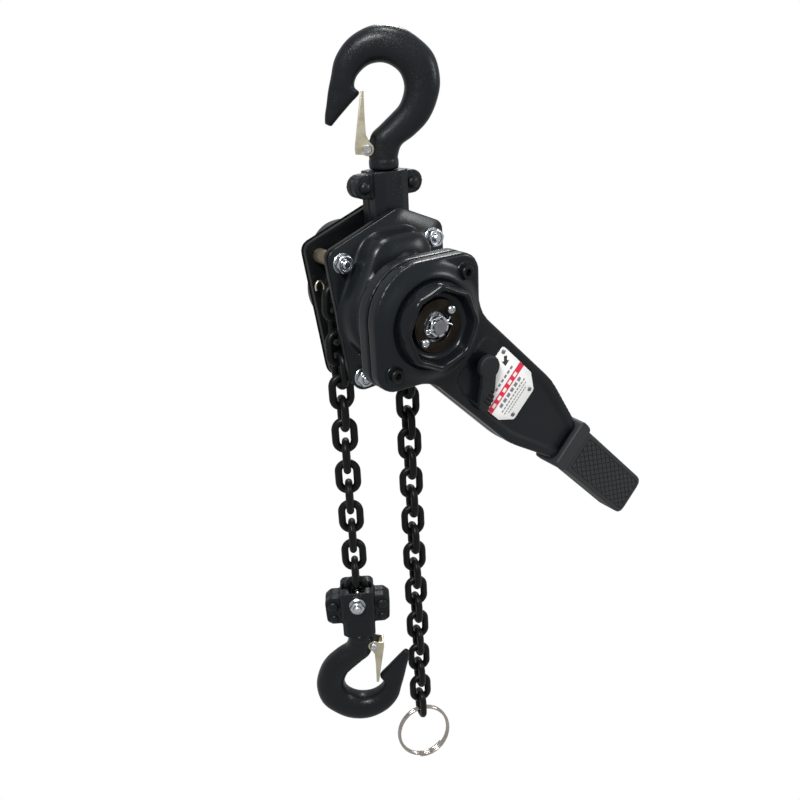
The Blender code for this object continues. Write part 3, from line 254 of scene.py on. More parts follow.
def plated_finish(name, first, second, rough, brushed=0.00003):
    """Zinc or nickel plate: two tones in clouds, smears of roughness and faint drawing marks."""
    finish, shader, nodes, place = new_finish(name, {"Metallic": 1.0})
    clouds = nodes.spread(nodes.noise(place, 130, 4), 0.35, 0.65)
    smears = nodes.noise(place, 420, 4, 0.6)
    nodes.feed(shader.inputs["Base Color"], nodes.mix(first, second, clouds))
    nodes.feed(shader.inputs["Roughness"], rough + (smears - 0.5) * 0.22)
    nodes.feed(shader.inputs["Normal"], nodes.bump(nodes.noise(place, 1600, 3), brushed))
    return finish


def oxide_finish(name, tone, rough):
    """Blackened chain steel: oxide clouds, a film of oil and bright rubbed grain."""
    finish, shader, nodes, place = new_finish(name, {"Specular IOR Level": 0.22})
    clouds = nodes.noise(place, 240, 4, 0.6)
    rubbed = nodes.spread(nodes.noise(place, 600, 5, 0.7), 0.62, 0.78)
    colour = nodes.mix(tuple(c * 0.7 for c in tone), tuple(c * 1.5 for c in tone), clouds)
    nodes.feed(shader.inputs["Base Color"], nodes.mix(colour, (0.10, 0.10, 0.105), rubbed * 0.5))
    nodes.feed(shader.inputs["Metallic"], 0.25 + rubbed * 0.4)
    nodes.feed(shader.inputs["Roughness"], rough + (clouds - 0.5) * 0.24)
    nodes.feed(shader.inputs["Normal"], nodes.bump(nodes.noise(place, 1100, 3, 0.6), 0.00008))
    return finish


def rubber_finish():
    finish, shader, nodes, place = new_finish("grip_rubber", {"Specular IOR Level": 0.4})
    clouds = nodes.noise(place, 60, 4)
    grain = nodes.noise(place, 1500, 3, 0.6)
    nodes.feed(shader.inputs["Base Color"], nodes.mix((0.012, 0.014, 0.016), (0.020, 0.023, 0.025), clouds))
    nodes.feed(shader.inputs["Roughness"], 0.56 + (clouds - 0.5) * 0.2)
    nodes.feed(shader.inputs["Normal"], nodes.bump(grain, 0.00008))
    return finish


def print_finish(name, tone, rough=0.35):
    """Ink or enamel on the nameplate, with faint scuffs."""
    finish, shader, nodes, place = new_finish(name, {"Specular IOR Level": 0.22})
    scuffs = nodes.spread(nodes.noise(place, 380, 5, 0.7), 0.58, 0.80)
    nodes.feed(shader.inputs["Base Color"], nodes.mix(tone, tuple(c * 0.72 for c in tone), scuffs * 0.5))
    nodes.feed(shader.inputs["Roughness"], rough + scuffs * 0.2)
    nodes.feed(shader.inputs["Normal"], nodes.bump(nodes.noise(place, 900, 2), 0.00002))
    return finish


FINISHES = {
    "cover_coat": coat_finish("cover_coat", (0.0066, 0.0086, 0.0104), 0.27, 0.00004),
    "wheel_coat": coat_finish("wheel_coat", (0.0052, 0.0066, 0.0082), 0.22, 0.00003),
    "plate_coat": coat_finish("plate_coat", (0.0042, 0.0046, 0.0052), 0.34, 0.00006, 0.3),
    "forged_black": forged_finish("forged_black", (0.0062, 0.0076, 0.0094), 0.30),
    "chain_black": oxide_finish("chain_black", (0.0045, 0.0048, 0.0054), 0.36),
    "latch_zinc": plated_finish("latch_zinc", (0.60, 0.54, 0.38), (0.76, 0.71, 0.56), 0.30),
    "spacer_zinc": plated_finish("spacer_zinc", (0.24, 0.20, 0.14), (0.34, 0.29, 0.21), 0.45),
    "bright_zinc": plated_finish("bright_zinc", (0.52, 0.56, 0.60), (0.68, 0.71, 0.74), 0.26, 0.00001),
    "ground_steel": plated_finish("ground_steel", (0.22, 0.22, 0.23), (0.32, 0.32, 0.33), 0.36, 0.00006),
    "bronzed_steel": plated_finish(
        "bronzed_steel", (0.020, 0.016, 0.013), (0.036, 0.029, 0.023), 0.34, 0.00005
    ),
    "ring_nickel": plated_finish("ring_nickel", (0.46, 0.42, 0.38), (0.60, 0.56, 0.52), 0.16, 0.00001),
    "knob_plastic": coat_finish("knob_plastic", (0.0120, 0.0130, 0.0150), 0.50, 0.00010, 0.1),
    "grip_rubber": rubber_finish(),
    "plate_white": print_finish("plate_white", (0.82, 0.82, 0.81)),
    "plate_red": print_finish("plate_red", (0.66, 0.030, 0.070)),
    "plate_ink": print_finish("plate_ink", (0.035, 0.035, 0.038)),
    "plate_grey": print_finish("plate_grey", (0.18, 0.18, 0.19)),
    "friction": coat_finish("friction", (0.11, 0.075, 0.05), 0.85, 0.00015, 0.4),
}


# ---------------------------------------------------------------- shaping tools

def new_piece(name, mesh):
    obj = bpy.data.objects.new(name, mesh)
    bpy.context.scene.collection.objects.link(obj)
    return obj


def discard(obj):
    mesh = obj.data
    bpy.data.objects.remove(obj, do_unlink=True)
    if mesh.users == 0 and isinstance(mesh, bpy.types.Mesh):
        bpy.data.meshes.remove(mesh)


def tidy(mesh, merge=1e-7):
    edit = bmesh.new()
    edit.from_mesh(mesh)
    bmesh.ops.remove_doubles(edit, verts=edit.verts, dist=merge)
    bmesh.ops.recalc_face_normals(edit, faces=edit.faces)
    edit.to_mesh(mesh)
    edit.free()
    return mesh


def applied(obj):
    """The object with its modifiers worked into its mesh."""
    bpy.context.view_layer.update()
    evaluated = obj.evaluated_get(bpy.context.evaluated_depsgraph_get())
    mesh = bpy.data.meshes.new_from_object(evaluated)
    if isinstance(obj.data, bpy.types.Mesh):
        old = obj.data
        obj.modifiers.clear()
        obj.data = mesh
        bpy.data.meshes.remove(old)
        return obj
    name = obj.name
    bpy.data.objects.remove(obj, do_unlink=True)
    return new_piece(name, tidy(mesh))


def combine(obj, tool, operation="DIFFERENCE", keep=False):
    modifier = obj.modifiers.new("combine", "BOOLEAN")
    modifier.operation = operation
    modifier.object = tool
    modifier.solver = "MANIFOLD"
    applied(obj)
    if not keep:
        discard(tool)
    return obj


def bevelled(obj, width, segments=2, angle=radians(35)):
    modifier = obj.modifiers.new("bevel", "BEVEL")
    modifier.width = width
    modifier.segments = segments
    modifier.limit_method = "ANGLE"
    modifier.angle_limit = angle
    return applied(obj)


def softened(obj, grain, rounds):
    """Even facets of one grain, relaxed so that every edge gets a soft radius."""
    remesh = obj.modifiers.new("remesh", "REMESH")
    remesh.mode = "VOXEL"
    remesh.voxel_size = grain
    relax = obj.modifiers.new("relax", "SMOOTH")
    relax.factor = 0.5
    relax.iterations = rounds
    return applied(obj)


def moved(obj, matrix):
    obj.data.transform(matrix)
    obj.data.update()
    return obj


def shaded(obj, angle=radians(32)):
    obj.data.shade_smooth()
    obj.data.set_sharp_from_angle(angle=angle)
    return obj


def fitted(obj, finish, body, *nodes, smooth_angle=radians(32)):
    """A finished piece: its finish, the body it rides on, and the solids it stands for."""
    obj.data.materials.clear()
    obj.data.materials.append(FINISHES[finish])
    shaded(obj, smooth_angle)
    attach(obj, body)
    if nodes:
        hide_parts(*nodes)
    return obj


def prism(name, outline, front, back, holes=()):
    """A flat piece with an outline in X and Z, between two distances to the front."""
    curve = bpy.data.curves.new(name, "CURVE")
    curve.dimensions = "2D"
    curve.fill_mode = "BOTH"
    curve.extrude = (front - back) / 2
    for points in (outline, *holes):
        spline = curve.splines.new("POLY")
        spline.points.add(len(points) - 1)
        for point, (x, z) in zip(spline.points, points):
            point.co = (x, z, 0, 1)
        spline.use_cyclic_u = True
    obj = applied(new_piece(name, curve))
    upright = Matrix.Translation((0, -(front + back) / 2, 0)) @ Matrix.Rotation(pi / 2, 4, "X")
    return moved(obj, upright)


def block(name, outline, low, high):
    """An upright prism with an outline in X and Y."""
    return moved(prism(name, outline, high, low), Matrix.Rotation(-pi / 2, 4, "X"))


def skin(name, rings, closed_loop=False, capped=True):
    """A surface over rings with the same number of points. closed_loop joins the last ring to the first."""
    edit = bmesh.new()
    loops = [[edit.verts.new(point) for point in ring] for ring in rings]
    pairs = list(zip(loops, loops[1:]))
    if closed_loop:
        pairs.append((loops[-1], loops[0]))
    count = len(rings[0])
    for lower, upper in pairs:
        for i in range(count):
            j = (i + 1) % count
            edit.faces.new((lower[i], lower[j], upper[j], upper[i]))
    if capped and not closed_loop:
        edit.faces.new(loops[0])
        edit.faces.new(loops[-1])
    bmesh.ops.recalc_face_normals(edit, faces=edit.faces)
    mesh = bpy.data.meshes.new(name)
    edit.to_mesh(mesh)
    edit.free()
    return new_piece(name, mesh)


def lathe(name, profile, centre=(0, 0), steps=48):
    """A turned piece about an axis along Y, from (radius, front) pairs. Radius 0 closes an end."""
    rings = []
    for radius, front in profile:
        turn = [2 * pi * i / steps for i in range(steps)]
        r = max(radius, 1e-6)
        rings.append([(centre[0] + r * cos(a), -front, centre[1] + r * sin(a)) for a in turn])
    open_bore = profile[0][0] > 0
    obj = skin(name, rings, closed_loop=open_bore)
    tidy(obj.data, 5e-6)
    return obj


def rod(name, radius, front, back, centre=(0, 0), chamfer=0.0, steps=32):
    profile = [(0, front), (radius - chamfer, front), (radius, front - chamfer)]
    profile += [(radius, back + chamfer), (radius - chamfer, back), (0, back)]
    if chamfer == 0:
        profile = [(0, front), (radius, front), (radius, back), (0, back)]
    return lathe(name, profile, centre, steps)


def tube(name, points, radius, closed=False, sides=12):
    """Round wire along a run of points."""
    curve = bpy.data.curves.new(name, "CURVE")
    curve.dimensions = "3D"
    curve.bevel_depth = radius
    curve.bevel_resolution = sides // 2 - 2
    curve.use_fill_caps = True
    spline = curve.splines.new("POLY")
    spline.points.add(len(points) - 1)
    for point, place in zip(spline.points, points):
        point.co = (*place, 1)
    spline.use_cyclic_u = closed
    return applied(new_piece(name, curve))


def joined(name, parts):
    edit = bmesh.new()
    for part in parts:
        edit.from_mesh(part.data)
    mesh = bpy.data.meshes.new(name)
    edit.to_mesh(mesh)
    edit.free()
    for part in parts:
        discard(part)
    return new_piece(name, mesh)


# ---------------------------------------------------------------- outlines

def box_outline(left, right, low, high):
    return [(left, low), (right, low), (right, high), (left, high)]


def cut_corners(width, narrow, back, shoulder, front):
    """An outline from -width to width along X whose two front corners are cut off."""
    right = [(width, back), (width, shoulder), (narrow, front)]
    return [(-width, back), *right, (-narrow, front), (-width, shoulder)]


def both_sides(*corners):
    """Corners (x, half width, radius) along the negative side, then back along the positive side."""
    return tuple((x, -half, radius) for x, half, radius in corners) + tuple(reversed(corners))


def turned(outline, angle, centre=(0, 0)):
    """The outline turned about the origin and then moved to the centre."""
    c, s = cos(angle), sin(angle)
    return [(centre[0] + x * c - z * s, centre[1] + x * s + z * c) for x, z in outline]


def washer_profile(bore, radius, front, back, edge=0.0003):
    """Section of a flat ring whose front edge is turned off."""
    return [(bore, front), (radius - edge, front), (radius, front - edge), (radius, back), (bore, back)]


def circle(radius, centre=(0, 0), sides=32, start=0.0):
    turn = [start + 2 * pi * i / sides for i in range(sides)]
    return [(centre[0] + radius * cos(a), centre[1] + radius * sin(a)) for a in turn]


def around(angle, radius):
    return (radius * cos(angle), radius * sin(angle))


def rounded(corners, arc_step=radians(9)):
    """The outline through (x, z, radius) corners, each rounded to its radius."""
    points = []
    count = len(corners)
    for i, (x, z, radius) in enumerate(corners):
        here = Vector((x, z))
        before = (Vector(corners[i - 1][:2]) - here).normalized()
        after = (Vector(corners[(i + 1) % count][:2]) - here).normalized()
        if radius <= 0:
            points.append((x, z))
            continue
        half = before.angle(after) / 2
        centre = here + (before + after).normalized() * (radius / sin(half))
        start = here + before * (radius / tan(half)) - centre
        end = here + after * (radius / tan(half)) - centre
        turn = (atan2(end.y, end.x) - atan2(start.y, start.x) + pi) % (2 * pi) - pi
        steps = max(1, ceil(abs(turn) / arc_step))
        first = atan2(start.y, start.x)
        for step in range(steps + 1):
            angle = first + turn * step / steps
            points.append((centre.x + radius * cos(angle), centre.y + radius * sin(angle)))
    return points


def inset(corners, distance):
    """The corners moved inwards, with radii that keep the wall even."""
    corners = list(corners)
    area = sum(a[0] * b[1] - b[0] * a[1] for a, b in zip(corners, corners[1:] + corners[:1]))
    side = 1 if area > 0 else -1
    count = len(corners)
    result = []
    for i, (x, z, radius) in enumerate(corners):
        here = Vector((x, z))
        arriving = (here - Vector(corners[i - 1][:2])).normalized()
        leaving = (Vector(corners[(i + 1) % count][:2]) - here).normalized()
        normals = [Vector((-d.y, d.x)) * side for d in (arriving, leaving)]
        shift = (normals[0] + normals[1]) * (distance / (1 + normals[0].dot(normals[1])))
        convex = side * (arriving.x * leaving.y - arriving.y * leaving.x) > 0
        new_radius = max(radius - distance, 0.0003) if convex else radius + distance
        result.append((x + shift.x, z + shift.y, new_radius))
    return result


def reach(outline, centre, angle):
    """How far an outline lies from a point inside it, in one direction."""
    direction = Vector(around(angle, 1))
    best = 0.0
    for (ax, az), (bx, bz) in zip(outline, outline[1:] + outline[:1]):
        a = Vector((ax - centre[0], az - centre[1]))
        edge = Vector((bx - ax, bz - az))
        cross = direction.x * edge.y - direction.y * edge.x
        if abs(cross) < 1e-15:
            continue
        along = (a.x * edge.y - a.y * edge.x) / cross
        share = (a.x * direction.y - a.y * direction.x) / cross
        if along > best and -1e-9 <= share <= 1 + 1e-9:
            best = along
    return best


def belt_reach(circles, centre, angle, grow=0.0):
    """The same for a belt round (x, z, radius) circles, found from its support lines."""
    direction = Vector(around(angle, 1))
    best = 1.0
    for i in range(360):
        turn = radians(i)
        normal = Vector(around(turn, 1))
        facing = normal.dot(direction)
        if facing < 0.05:
            continue
        support = max(normal.dot(Vector((x - centre[0], z - centre[1]))) + r for x, z, r in circles)
        best = min(best, (support + grow) / facing)
    return best


def hull(circles, grow=0.0, sides=90, centre=None):
    middle = centre or circles[0][:2]
    turn = [2 * pi * i / sides for i in range(sides)]
    reaches = [belt_reach(circles, middle, a, grow) for a in turn]
    return [(middle[0] + r * cos(a), middle[1] + r * sin(a)) for r, a in zip(reaches, turn)]


def smooth_step(value, low, high):
    share = np.clip((value - low) / (high - low), 0.0, 1.0)
    return share * share * (3 - 2 * share)


def depth_inside(points, outline):
    """Signed distance of each (x, z) point inside an outline: positive within it."""
    points = np.asarray(points)
    corners = np.asarray(outline)
    nearest = np.full(len(points), 1e9)
    inside = np.zeros(len(points), bool)
    for a, b in zip(corners, np.roll(corners, -1, axis=0)):
        edge = b - a
        share = np.clip(((points - a) @ edge) / max(edge @ edge, 1e-18), 0, 1)
        away = points - (a + share[:, None] * edge)
        nearest = np.minimum(nearest, np.hypot(away[:, 0], away[:, 1]))
        crosses = (a[1] > points[:, 1]) != (b[1] > points[:, 1])
        with np.errstate(divide="ignore", invalid="ignore"):
            limit = a[0] + (points[:, 1] - a[1]) * (b[0] - a[0]) / (b[1] - a[1])
        inside ^= crosses & (points[:, 0] < limit)
    return np.where(inside, nearest, -nearest)


def stamped(obj, front_from, front_full, height):
    """Pushes the front skin by height(x, z), fading in between two distances to the front."""
    mesh = obj.data
    places = np.empty(len(mesh.vertices) * 3, np.float32)
    mesh.vertices.foreach_get("co", places)
    places = places.reshape(-1, 3)
    weight = smooth_step(-places[:, 1], front_from, front_full)
    places[:, 1] -= weight * height(places[:, [0, 2]])
    mesh.vertices.foreach_set("co", places.reshape(-1))
    mesh.update()
    return obj


# ---------------------------------------------------------------- repeated pieces, as node trees

def tree_with_inputs(name, inputs):
    tree = bpy.data.node_groups.new(name, "GeometryNodeTree")
    tree.interface.new_socket("Geometry", in_out="OUTPUT", socket_type="NodeSocketGeometry")
    for label, kind, value in inputs:
        socket = tree.interface.new_socket(label, in_out="INPUT", socket_type=f"NodeSocket{kind}")
        if value is not None:
            socket.default_value = value
    entry = tree.nodes.new("NodeGroupInput")
    nodes = Nodes(tree)
    given = {label: Value(nodes, entry.outputs[label]) for label, _, _ in inputs}
    return tree, nodes, given


def close_tree(tree, nodes, instances, finish):
    real = nodes.node("GeometryNodeRealizeInstances", {}, {"Geometry": instances})
    shown = nodes.node("GeometryNodeSetMaterial", {}, {"Geometry": real, "Material": finish})
    exit_node = tree.nodes.new("NodeGroupOutput")
    tree.links.new(shown.socket, exit_node.inputs[0])


def from_tree(name, tree, values):
    """A plain mesh made by a tree with these input values."""
    obj = new_piece(name, bpy.data.meshes.new(name))
    modifier = obj.modifiers.new("made", "NODES")
    modifier.node_group = tree
    for item in tree.interface.items_tree:
        if item.in_out == "INPUT" and item.name in values:
            modifier[item.identifier] = values[item.name]
    return applied(obj)


def chain_tree():
    """Links on a line or, with an arc step, round the origin. They alternate by 90 degrees."""
    inputs = [
        ("Links", "Int", 5),
        ("Start", "Vector", None),
        ("Step", "Vector", None),
        ("Arc start", "Float", 0.0),
        ("Arc step", "Float", 0.0),
        ("First turn", "Float", 0.0),
        ("Twist", "Float", 0.0),
        ("Twist links", "Float", 4.0),
        ("Wire", "Float", 0.006),
        ("Inner length", "Float", 0.018),
        ("Width", "Float", 0.0204),
        ("Finish", "Material", None),
    ]
    tree, nodes, given = tree_with_inputs("chain_links", inputs)
    breadth = given["Width"] - given["Wire"]
    path = nodes.node(
        "GeometryNodeCurvePrimitiveQuadrilateral",
        {"mode": "RECTANGLE"},
        {"Width": breadth, "Height": given["Inner length"] + given["Wire"]},
    )
    bends = nodes.node(
        "GeometryNodeFilletCurve",
        {"mode": "POLY"},
        {"Curve": path, "Count": 8, "Radius": breadth * 0.5},
    )
    section = {"Resolution": 14, "Radius": given["Wire"] * 0.5}
    wire = nodes.node("GeometryNodeCurvePrimitiveCircle", {}, section)
    link = nodes.node("GeometryNodeCurveToMesh", {}, {"Curve": bends, "Profile Curve": wire})
    upright = nodes.node("GeometryNodeTransform", {}, {"Geometry": link, "Rotation": (pi / 2, 0, 0)})
    line = nodes.node(
        "GeometryNodeMeshLine",
        {"mode": "OFFSET"},
        {"Count": given["Links"], "Start Location": given["Start"], "Offset": given["Step"]},
    )
    index = nodes.node("GeometryNodeInputIndex")
    twist = ((index + 1) / given["Twist links"]).minimum(1.0) * given["Twist"]
    turn = given["First turn"] + index % 2 * (pi / 2) + twist
    spin = nodes.node("ShaderNodeCombineXYZ", {}, {"Z": turn})
    placed = nodes.node(
        "GeometryNodeInstanceOnPoints",
        {},
        {"Points": line, "Instance": upright, "Rotation": spin},
    )
    bend = nodes.node("ShaderNodeCombineXYZ", {}, {"Y": given["Arc start"] + index * given["Arc step"]})
    wrapped = nodes.node(
        "GeometryNodeRotateInstances",
        {},
        {"Instances": placed, "Rotation": bend, "Pivot Point": (0, 0, 0), "Local Space": False},
    )
    smooth = nodes.node("GeometryNodeSetShadeSmooth", {}, {0: wrapped})
    close_tree(tree, nodes, smooth, given["Finish"])
    return tree


def spring_tree():
    """A coil of round wire about Z."""
    inputs = [
        ("Turns", "Float", 4.0),
        ("Radius", "Float", 0.002),
        ("End radius", "Float", 0.002),
        ("Height", "Float", 0.01),
        ("Wire", "Float", 0.0005),
        ("Points per turn", "Int", 24),
        ("Finish", "Material", None),
    ]
    tree, nodes, given = tree_with_inputs("coil_of_wire", inputs)
    sockets = {
        "Resolution": given["Points per turn"],
        "Rotations": given["Turns"],
        "Start Radius": given["Radius"],
        "End Radius": given["End radius"],
        "Height": given["Height"],
    }
    path = nodes.node("GeometryNodeCurveSpiral", {}, sockets)
    wire = nodes.node("GeometryNodeCurvePrimitiveCircle", {}, {"Resolution": 10, "Radius": given["Wire"]})
    coil = nodes.node(
        "GeometryNodeCurveToMesh",
        {},
        {"Curve": path, "Profile Curve": wire, "Fill Caps": True},
    )
    smooth = nodes.node("GeometryNodeSetShadeSmooth", {}, {0: coil})
    close_tree(tree, nodes, smooth, given["Finish"])
    return tree


def rib_tree():
    """Parallel bars in the XY plane, set out along X and turned about Z, that cut the grooves of the grip."""
    inputs = [
        ("Ribs", "Int", 20),
        ("Spacing", "Float", 0.004),
        ("Angle", "Float", 0.6),
        ("Size", "Vector", None),
        ("Finish", "Material", None),
    ]
    tree, nodes, given = tree_with_inputs("grip_ribs", inputs)
    bar = nodes.node("GeometryNodeMeshCube", {}, {"Size": given["Size"]})
    half = (given["Ribs"] - 1) * given["Spacing"] * -0.5
    start = nodes.node("ShaderNodeCombineXYZ", {}, {"X": half})
    step = nodes.node("ShaderNodeCombineXYZ", {}, {"X": given["Spacing"]})
    line = nodes.node(
        "GeometryNodeMeshLine",
        {"mode": "OFFSET"},
        {"Count": given["Ribs"], "Start Location": start, "Offset": step},
    )
    turn = nodes.node("ShaderNodeCombineXYZ", {}, {"Z": given["Angle"]})
    placed = nodes.node(
        "GeometryNodeInstanceOnPoints",
        {},
        {"Points": line, "Instance": bar, "Rotation": turn},
    )
    close_tree(tree, nodes, placed, given["Finish"])
    return tree


CHAIN_LINKS = chain_tree()
COIL = spring_tree()
RIBS = rib_tree()


# ---------------------------------------------------------------- hooks and latches

LATCH_PIVOT = (-0.011, -0.0555)
# Inner edge, outer edge and half thickness of the forging, from the neck round to the tip, in millimetres
HOOK_SECTIONS = (
    (-10.2, -60.0, 10.3, -61.0, 10.2),
    (-8.3, -47.0, 13.2, -54.0, 10.0),
    (-1.0, -40.0, 21.5, -48.5, 10.0),
    (7.0, -33.0, 31.5, -39.5, 10.2),
    (13.0, -27.0, 38.0, -28.0, 10.6),
    (16.5, -17.0, 41.3, -14.0, 11.0),
    (14.5, -8.0, 38.5, 1.5, 11.0),
    (9.0, -2.6, 30.0, 12.2, 11.0),
    (2.0, 0.0, 15.5, 21.5, 11.0),
    (-6.0, -0.8, -2.0, 23.6, 10.5),
    (-12.0, -4.4, -18.5, 16.8, 9.6),
    (-16.2, -9.3, -29.0, 5.0, 8.6),
    (-17.4, -14.8, -33.2, -8.0, 7.4),
    (-14.2, -18.7, -35.8, -17.0, 6.0),
    (-20.5, -25.0, -37.4, -25.0, 5.0),
    (-28.0, -32.4, -39.0, -32.0, 4.0),
    (-35.0, -39.6, -39.4, -37.6, 2.6),
)
TIP_GROWTH = Vector((-0.35, 0, -0.94))


def between_sections(share):
    """The section at a share of the way along the hook, on a smooth curve through the given ones."""
    last = len(HOOK_SECTIONS) - 1
    i = min(int(share), last - 1)
    t = share - i
    p0, p1, p2, p3 = (HOOK_SECTIONS[min(max(k, 0), last)] for k in (i - 1, i, i + 1, i + 2))
    return [
        0.5 * (2 * b + (c - a) * t + (2 * a - 5 * b + 4 * c - d) * t**2 + (3 * b - a - 3 * c + d) * t**3)
        for a, b, c, d in zip(p0, p1, p2, p3)
    ]


def hook_rings(longer, sides=40, per_span=5):
    turn = [2 * pi * i / sides for i in range(sides)]
    face = -SADDLE_TO_YOKE
    neck = ((0.0092, face - 0.0168), (0.0092, face - 0.0122), (0.0070, face - 0.0118))
    neck += ((0.0070, face + 0.0002), (0.0099, face + 0.0004), (0.0106, face + 0.0014))
    neck += ((0.0106, face + 0.0062), (0.0101, face + 0.0072))
    rings = [[(-r * cos(a), r * sin(a), z) for a in turn] for r, z in neck]
    for k in range((len(HOOK_SECTIONS) - 1) * per_span + 1):
        inner_x, inner_z, outer_x, outer_z, half = between_sections(k / per_span)
        grown = TIP_GROWTH * longer * float(smooth_step(k / per_span, 12, 16))
        inner = Vector((inner_x, 0, inner_z)) * MM + grown
        outer = Vector((outer_x, 0, outer_z)) * MM + grown
        middle = (inner + outer) / 2
        across = (inner - outer) / 2
        side = Vector((0, half * MM, 0))
        flat = 0.86
        ring = []
        for a in turn:
            u, v = cos(a), sin(a)
            over = abs(u) ** flat * (1 if u > 0 else -1)
            out = abs(v) ** flat * (1 if v > 0 else -1)
            ring.append(middle + across * over + side * out)
        rings.append(ring)
    return rings


def hook(name, place, body, *nodes, longer=0.0):
    px, pz = LATCH_PIVOT
    obj = skin(name, hook_rings(longer))
    combine(obj, rod("lug", 0.0046, 0.0042, -0.0042, LATCH_PIVOT), "UNION")
    flat = hull([(px, pz, 0.0053), (px + 0.0045, pz + 0.0075, 0.0016)], sides=48)
    combine(obj, prism("front_flat", flat, 0.02, 0.0043))
    combine(obj, prism("rear_flat", flat, -0.0043, -0.02))
    softened(obj, 0.0008, 5)
    return fitted(moved(obj, place), "forged_black", body, *nodes, smooth_angle=radians(50))


def latch(name, place, body, node):
    px, pz = LATCH_PIVOT
    ear = [(px + 0.0046 * cos(a), pz + 0.0046 * sin(a)) for a in map(radians, range(-130, 41, 10))]
    cheek = ear + [
        (px + 0.0010, pz + 0.0056),
        (px - 0.0004, pz + 0.0088),
        (px - 0.0007, pz + 0.0200),
        (px - 0.0004, pz + 0.0385),
        (px - 0.0025, pz + 0.0385),
        (px - 0.0088, pz + 0.0010),
        (px - 0.0086, pz - 0.0030),
    ]
    obj = prism(name, cheek, 0.0058, -0.0058)
    channel = [
        (px + 0.02, pz - 0.02),
        (px + 0.02, pz + 0.05),
        (px - 0.0002, pz + 0.05),
        (px - 0.0013, pz + 0.0385),
        (px - 0.0076, pz + 0.0010),
        (px - 0.0075, pz - 0.02),
    ]
    combine(obj, prism("channel", channel, 0.0047, -0.0047))
    combine(obj, rod("pin_hole", 0.0021, 0.01, -0.01, LATCH_PIVOT, steps=24))
    bevelled(obj, 0.00025, 2)
    return fitted(moved(obj, place), "latch_zinc", body, node)


def latch_pin(name, place, body, node):
    """A hollow-ended rivet: its flared ends show as bright rings."""
    profile = [(0, 0.0072), (0.0011, 0.0072), (0.0014, 0.0078), (0.0026, 0.0078), (0.0031, 0.0072)]
    profile += [(0.0031, 0.0064), (0.0028, 0.0060), (0.0018, 0.0060)]
    profile += [(radius, -front) for radius, front in reversed(profile)]
    obj = lathe(name, profile, LATCH_PIVOT, 32)
    return fitted(moved(obj, place), "bright_zinc", body, node)


# ---------------------------------------------------------------- yokes

def dome_head(name, centre, half_grip, radius, tall):
    """A rivet with a domed head at each end."""
    steps = [radians(9 * i) for i in range(11)]
    front = [(radius * sin(a), half_grip + tall * cos(a)) for a in steps]
    return lathe(name, front + [(r, -f) for r, f in reversed(front)], centre, 32)


RIVET_AT = (0.0200, -0.0105)
# Room inside a yoke for the neck of its hook: radius, and distance in from the face
STEM_ROOM = [(0, 0.0175), (0.0096, 0.0175), (0.0096, 0.0115), (0.0073, 0.0113), (0.0073, -0.002), (0, -0.002)]


def top_yoke_half(name, side):
    """One of two forged halves that close round the head of the hook's stem."""
    width, depth, gap = 0.014, 0.012, GAP / 2
    column = cut_corners(width, 0.0070, gap, 0.0090, depth)
    pin_drop = SADDLE_TO_PIN - SADDLE_TO_YOKE
    obj = block("yoke_half", [(x, -side * y) for x, y in column], -pin_drop - 0.0088, -GAP)
    ears = hull([(sign * RIVET_AT[0], -0.0100, 0.0083) for sign in (-1, 1)], sides=72, centre=(0, -0.010))
    front, back = sorted((side * 0.0062, side * gap), reverse=True)
    combine(obj, prism("ears", ears, front, back), "UNION")
    cavity = [(radius, -along) for radius, along in reversed(STEM_ROOM)]
    combine(obj, moved(lathe("stem_room", cavity), Matrix.Rotation(-pi / 2, 4, "X")))
    combine(obj, rod("pin_room", 0.0053, 0.02, -0.02, (0, -pin_drop)))
    for sign in (-1, 1):
        combine(obj, rod("rivet_room", 0.0030, 0.02, -0.02, (sign * RIVET_AT[0], RIVET_AT[1]), steps=24))
    softened(obj, 0.0006, 4)
    obj.name = name + "_forging"
    return fitted(moved(obj, AT_TOP_YOKE), "forged_black", "top_yoke", name, smooth_angle=radians(50))


def build_top():
    hook("top_hook_forging", AT_TOP_HOOK, "top_hook", "top_hook")
    latch("top_latch_sheet", AT_TOP_HOOK, "top_latch", "top_latch")
    latch_pin("top_latch_rivet", AT_TOP_HOOK, "top_hook", "top_latch_pin")
    top_yoke_half("top_yoke_front", 1)
    top_yoke_half("top_yoke_rear", -1)
    for sign, hand in ((-1, "left"), (1, "right")):
        rivet = dome_head("yoke_rivet_" + hand, (sign * RIVET_AT[0], RIVET_AT[1]), 0.0064, 0.0045, 0.0030)
        fitted(moved(rivet, AT_TOP_YOKE), "forged_black", "top_yoke", "top_yoke_rivet_" + hand)


# ---------------------------------------------------------------- frame

def pressed_cover(name, centre, plate, levels, sides=144):
    """Sheet metal drawn up from a plate. Levels are (circles, growth, front), flange to face."""
    turn = [2 * pi * i / sides for i in range(sides)]

    def ring(distance, front):
        return [(centre[0] + d * cos(a), -front, centre[1] + d * sin(a)) for d, a in zip(distance, turn)]

    rings = []
    for shrink, front in plate:
        outline = rounded(inset(PLATE_CORNERS, shrink), radians(4))
        rings.append(ring([reach(outline, centre, a) for a in turn], front))
    for circles, growth, front in levels:
        rings.append(ring([belt_reach(circles, centre, a, growth) for a in turn], front))
    return skin(name, rings, capped=False)


def thickened(obj, thickness):
    modifier = obj.modifiers.new("sheet", "SOLIDIFY")
    modifier.thickness = thickness
    modifier.offset = -1
    return applied(obj)


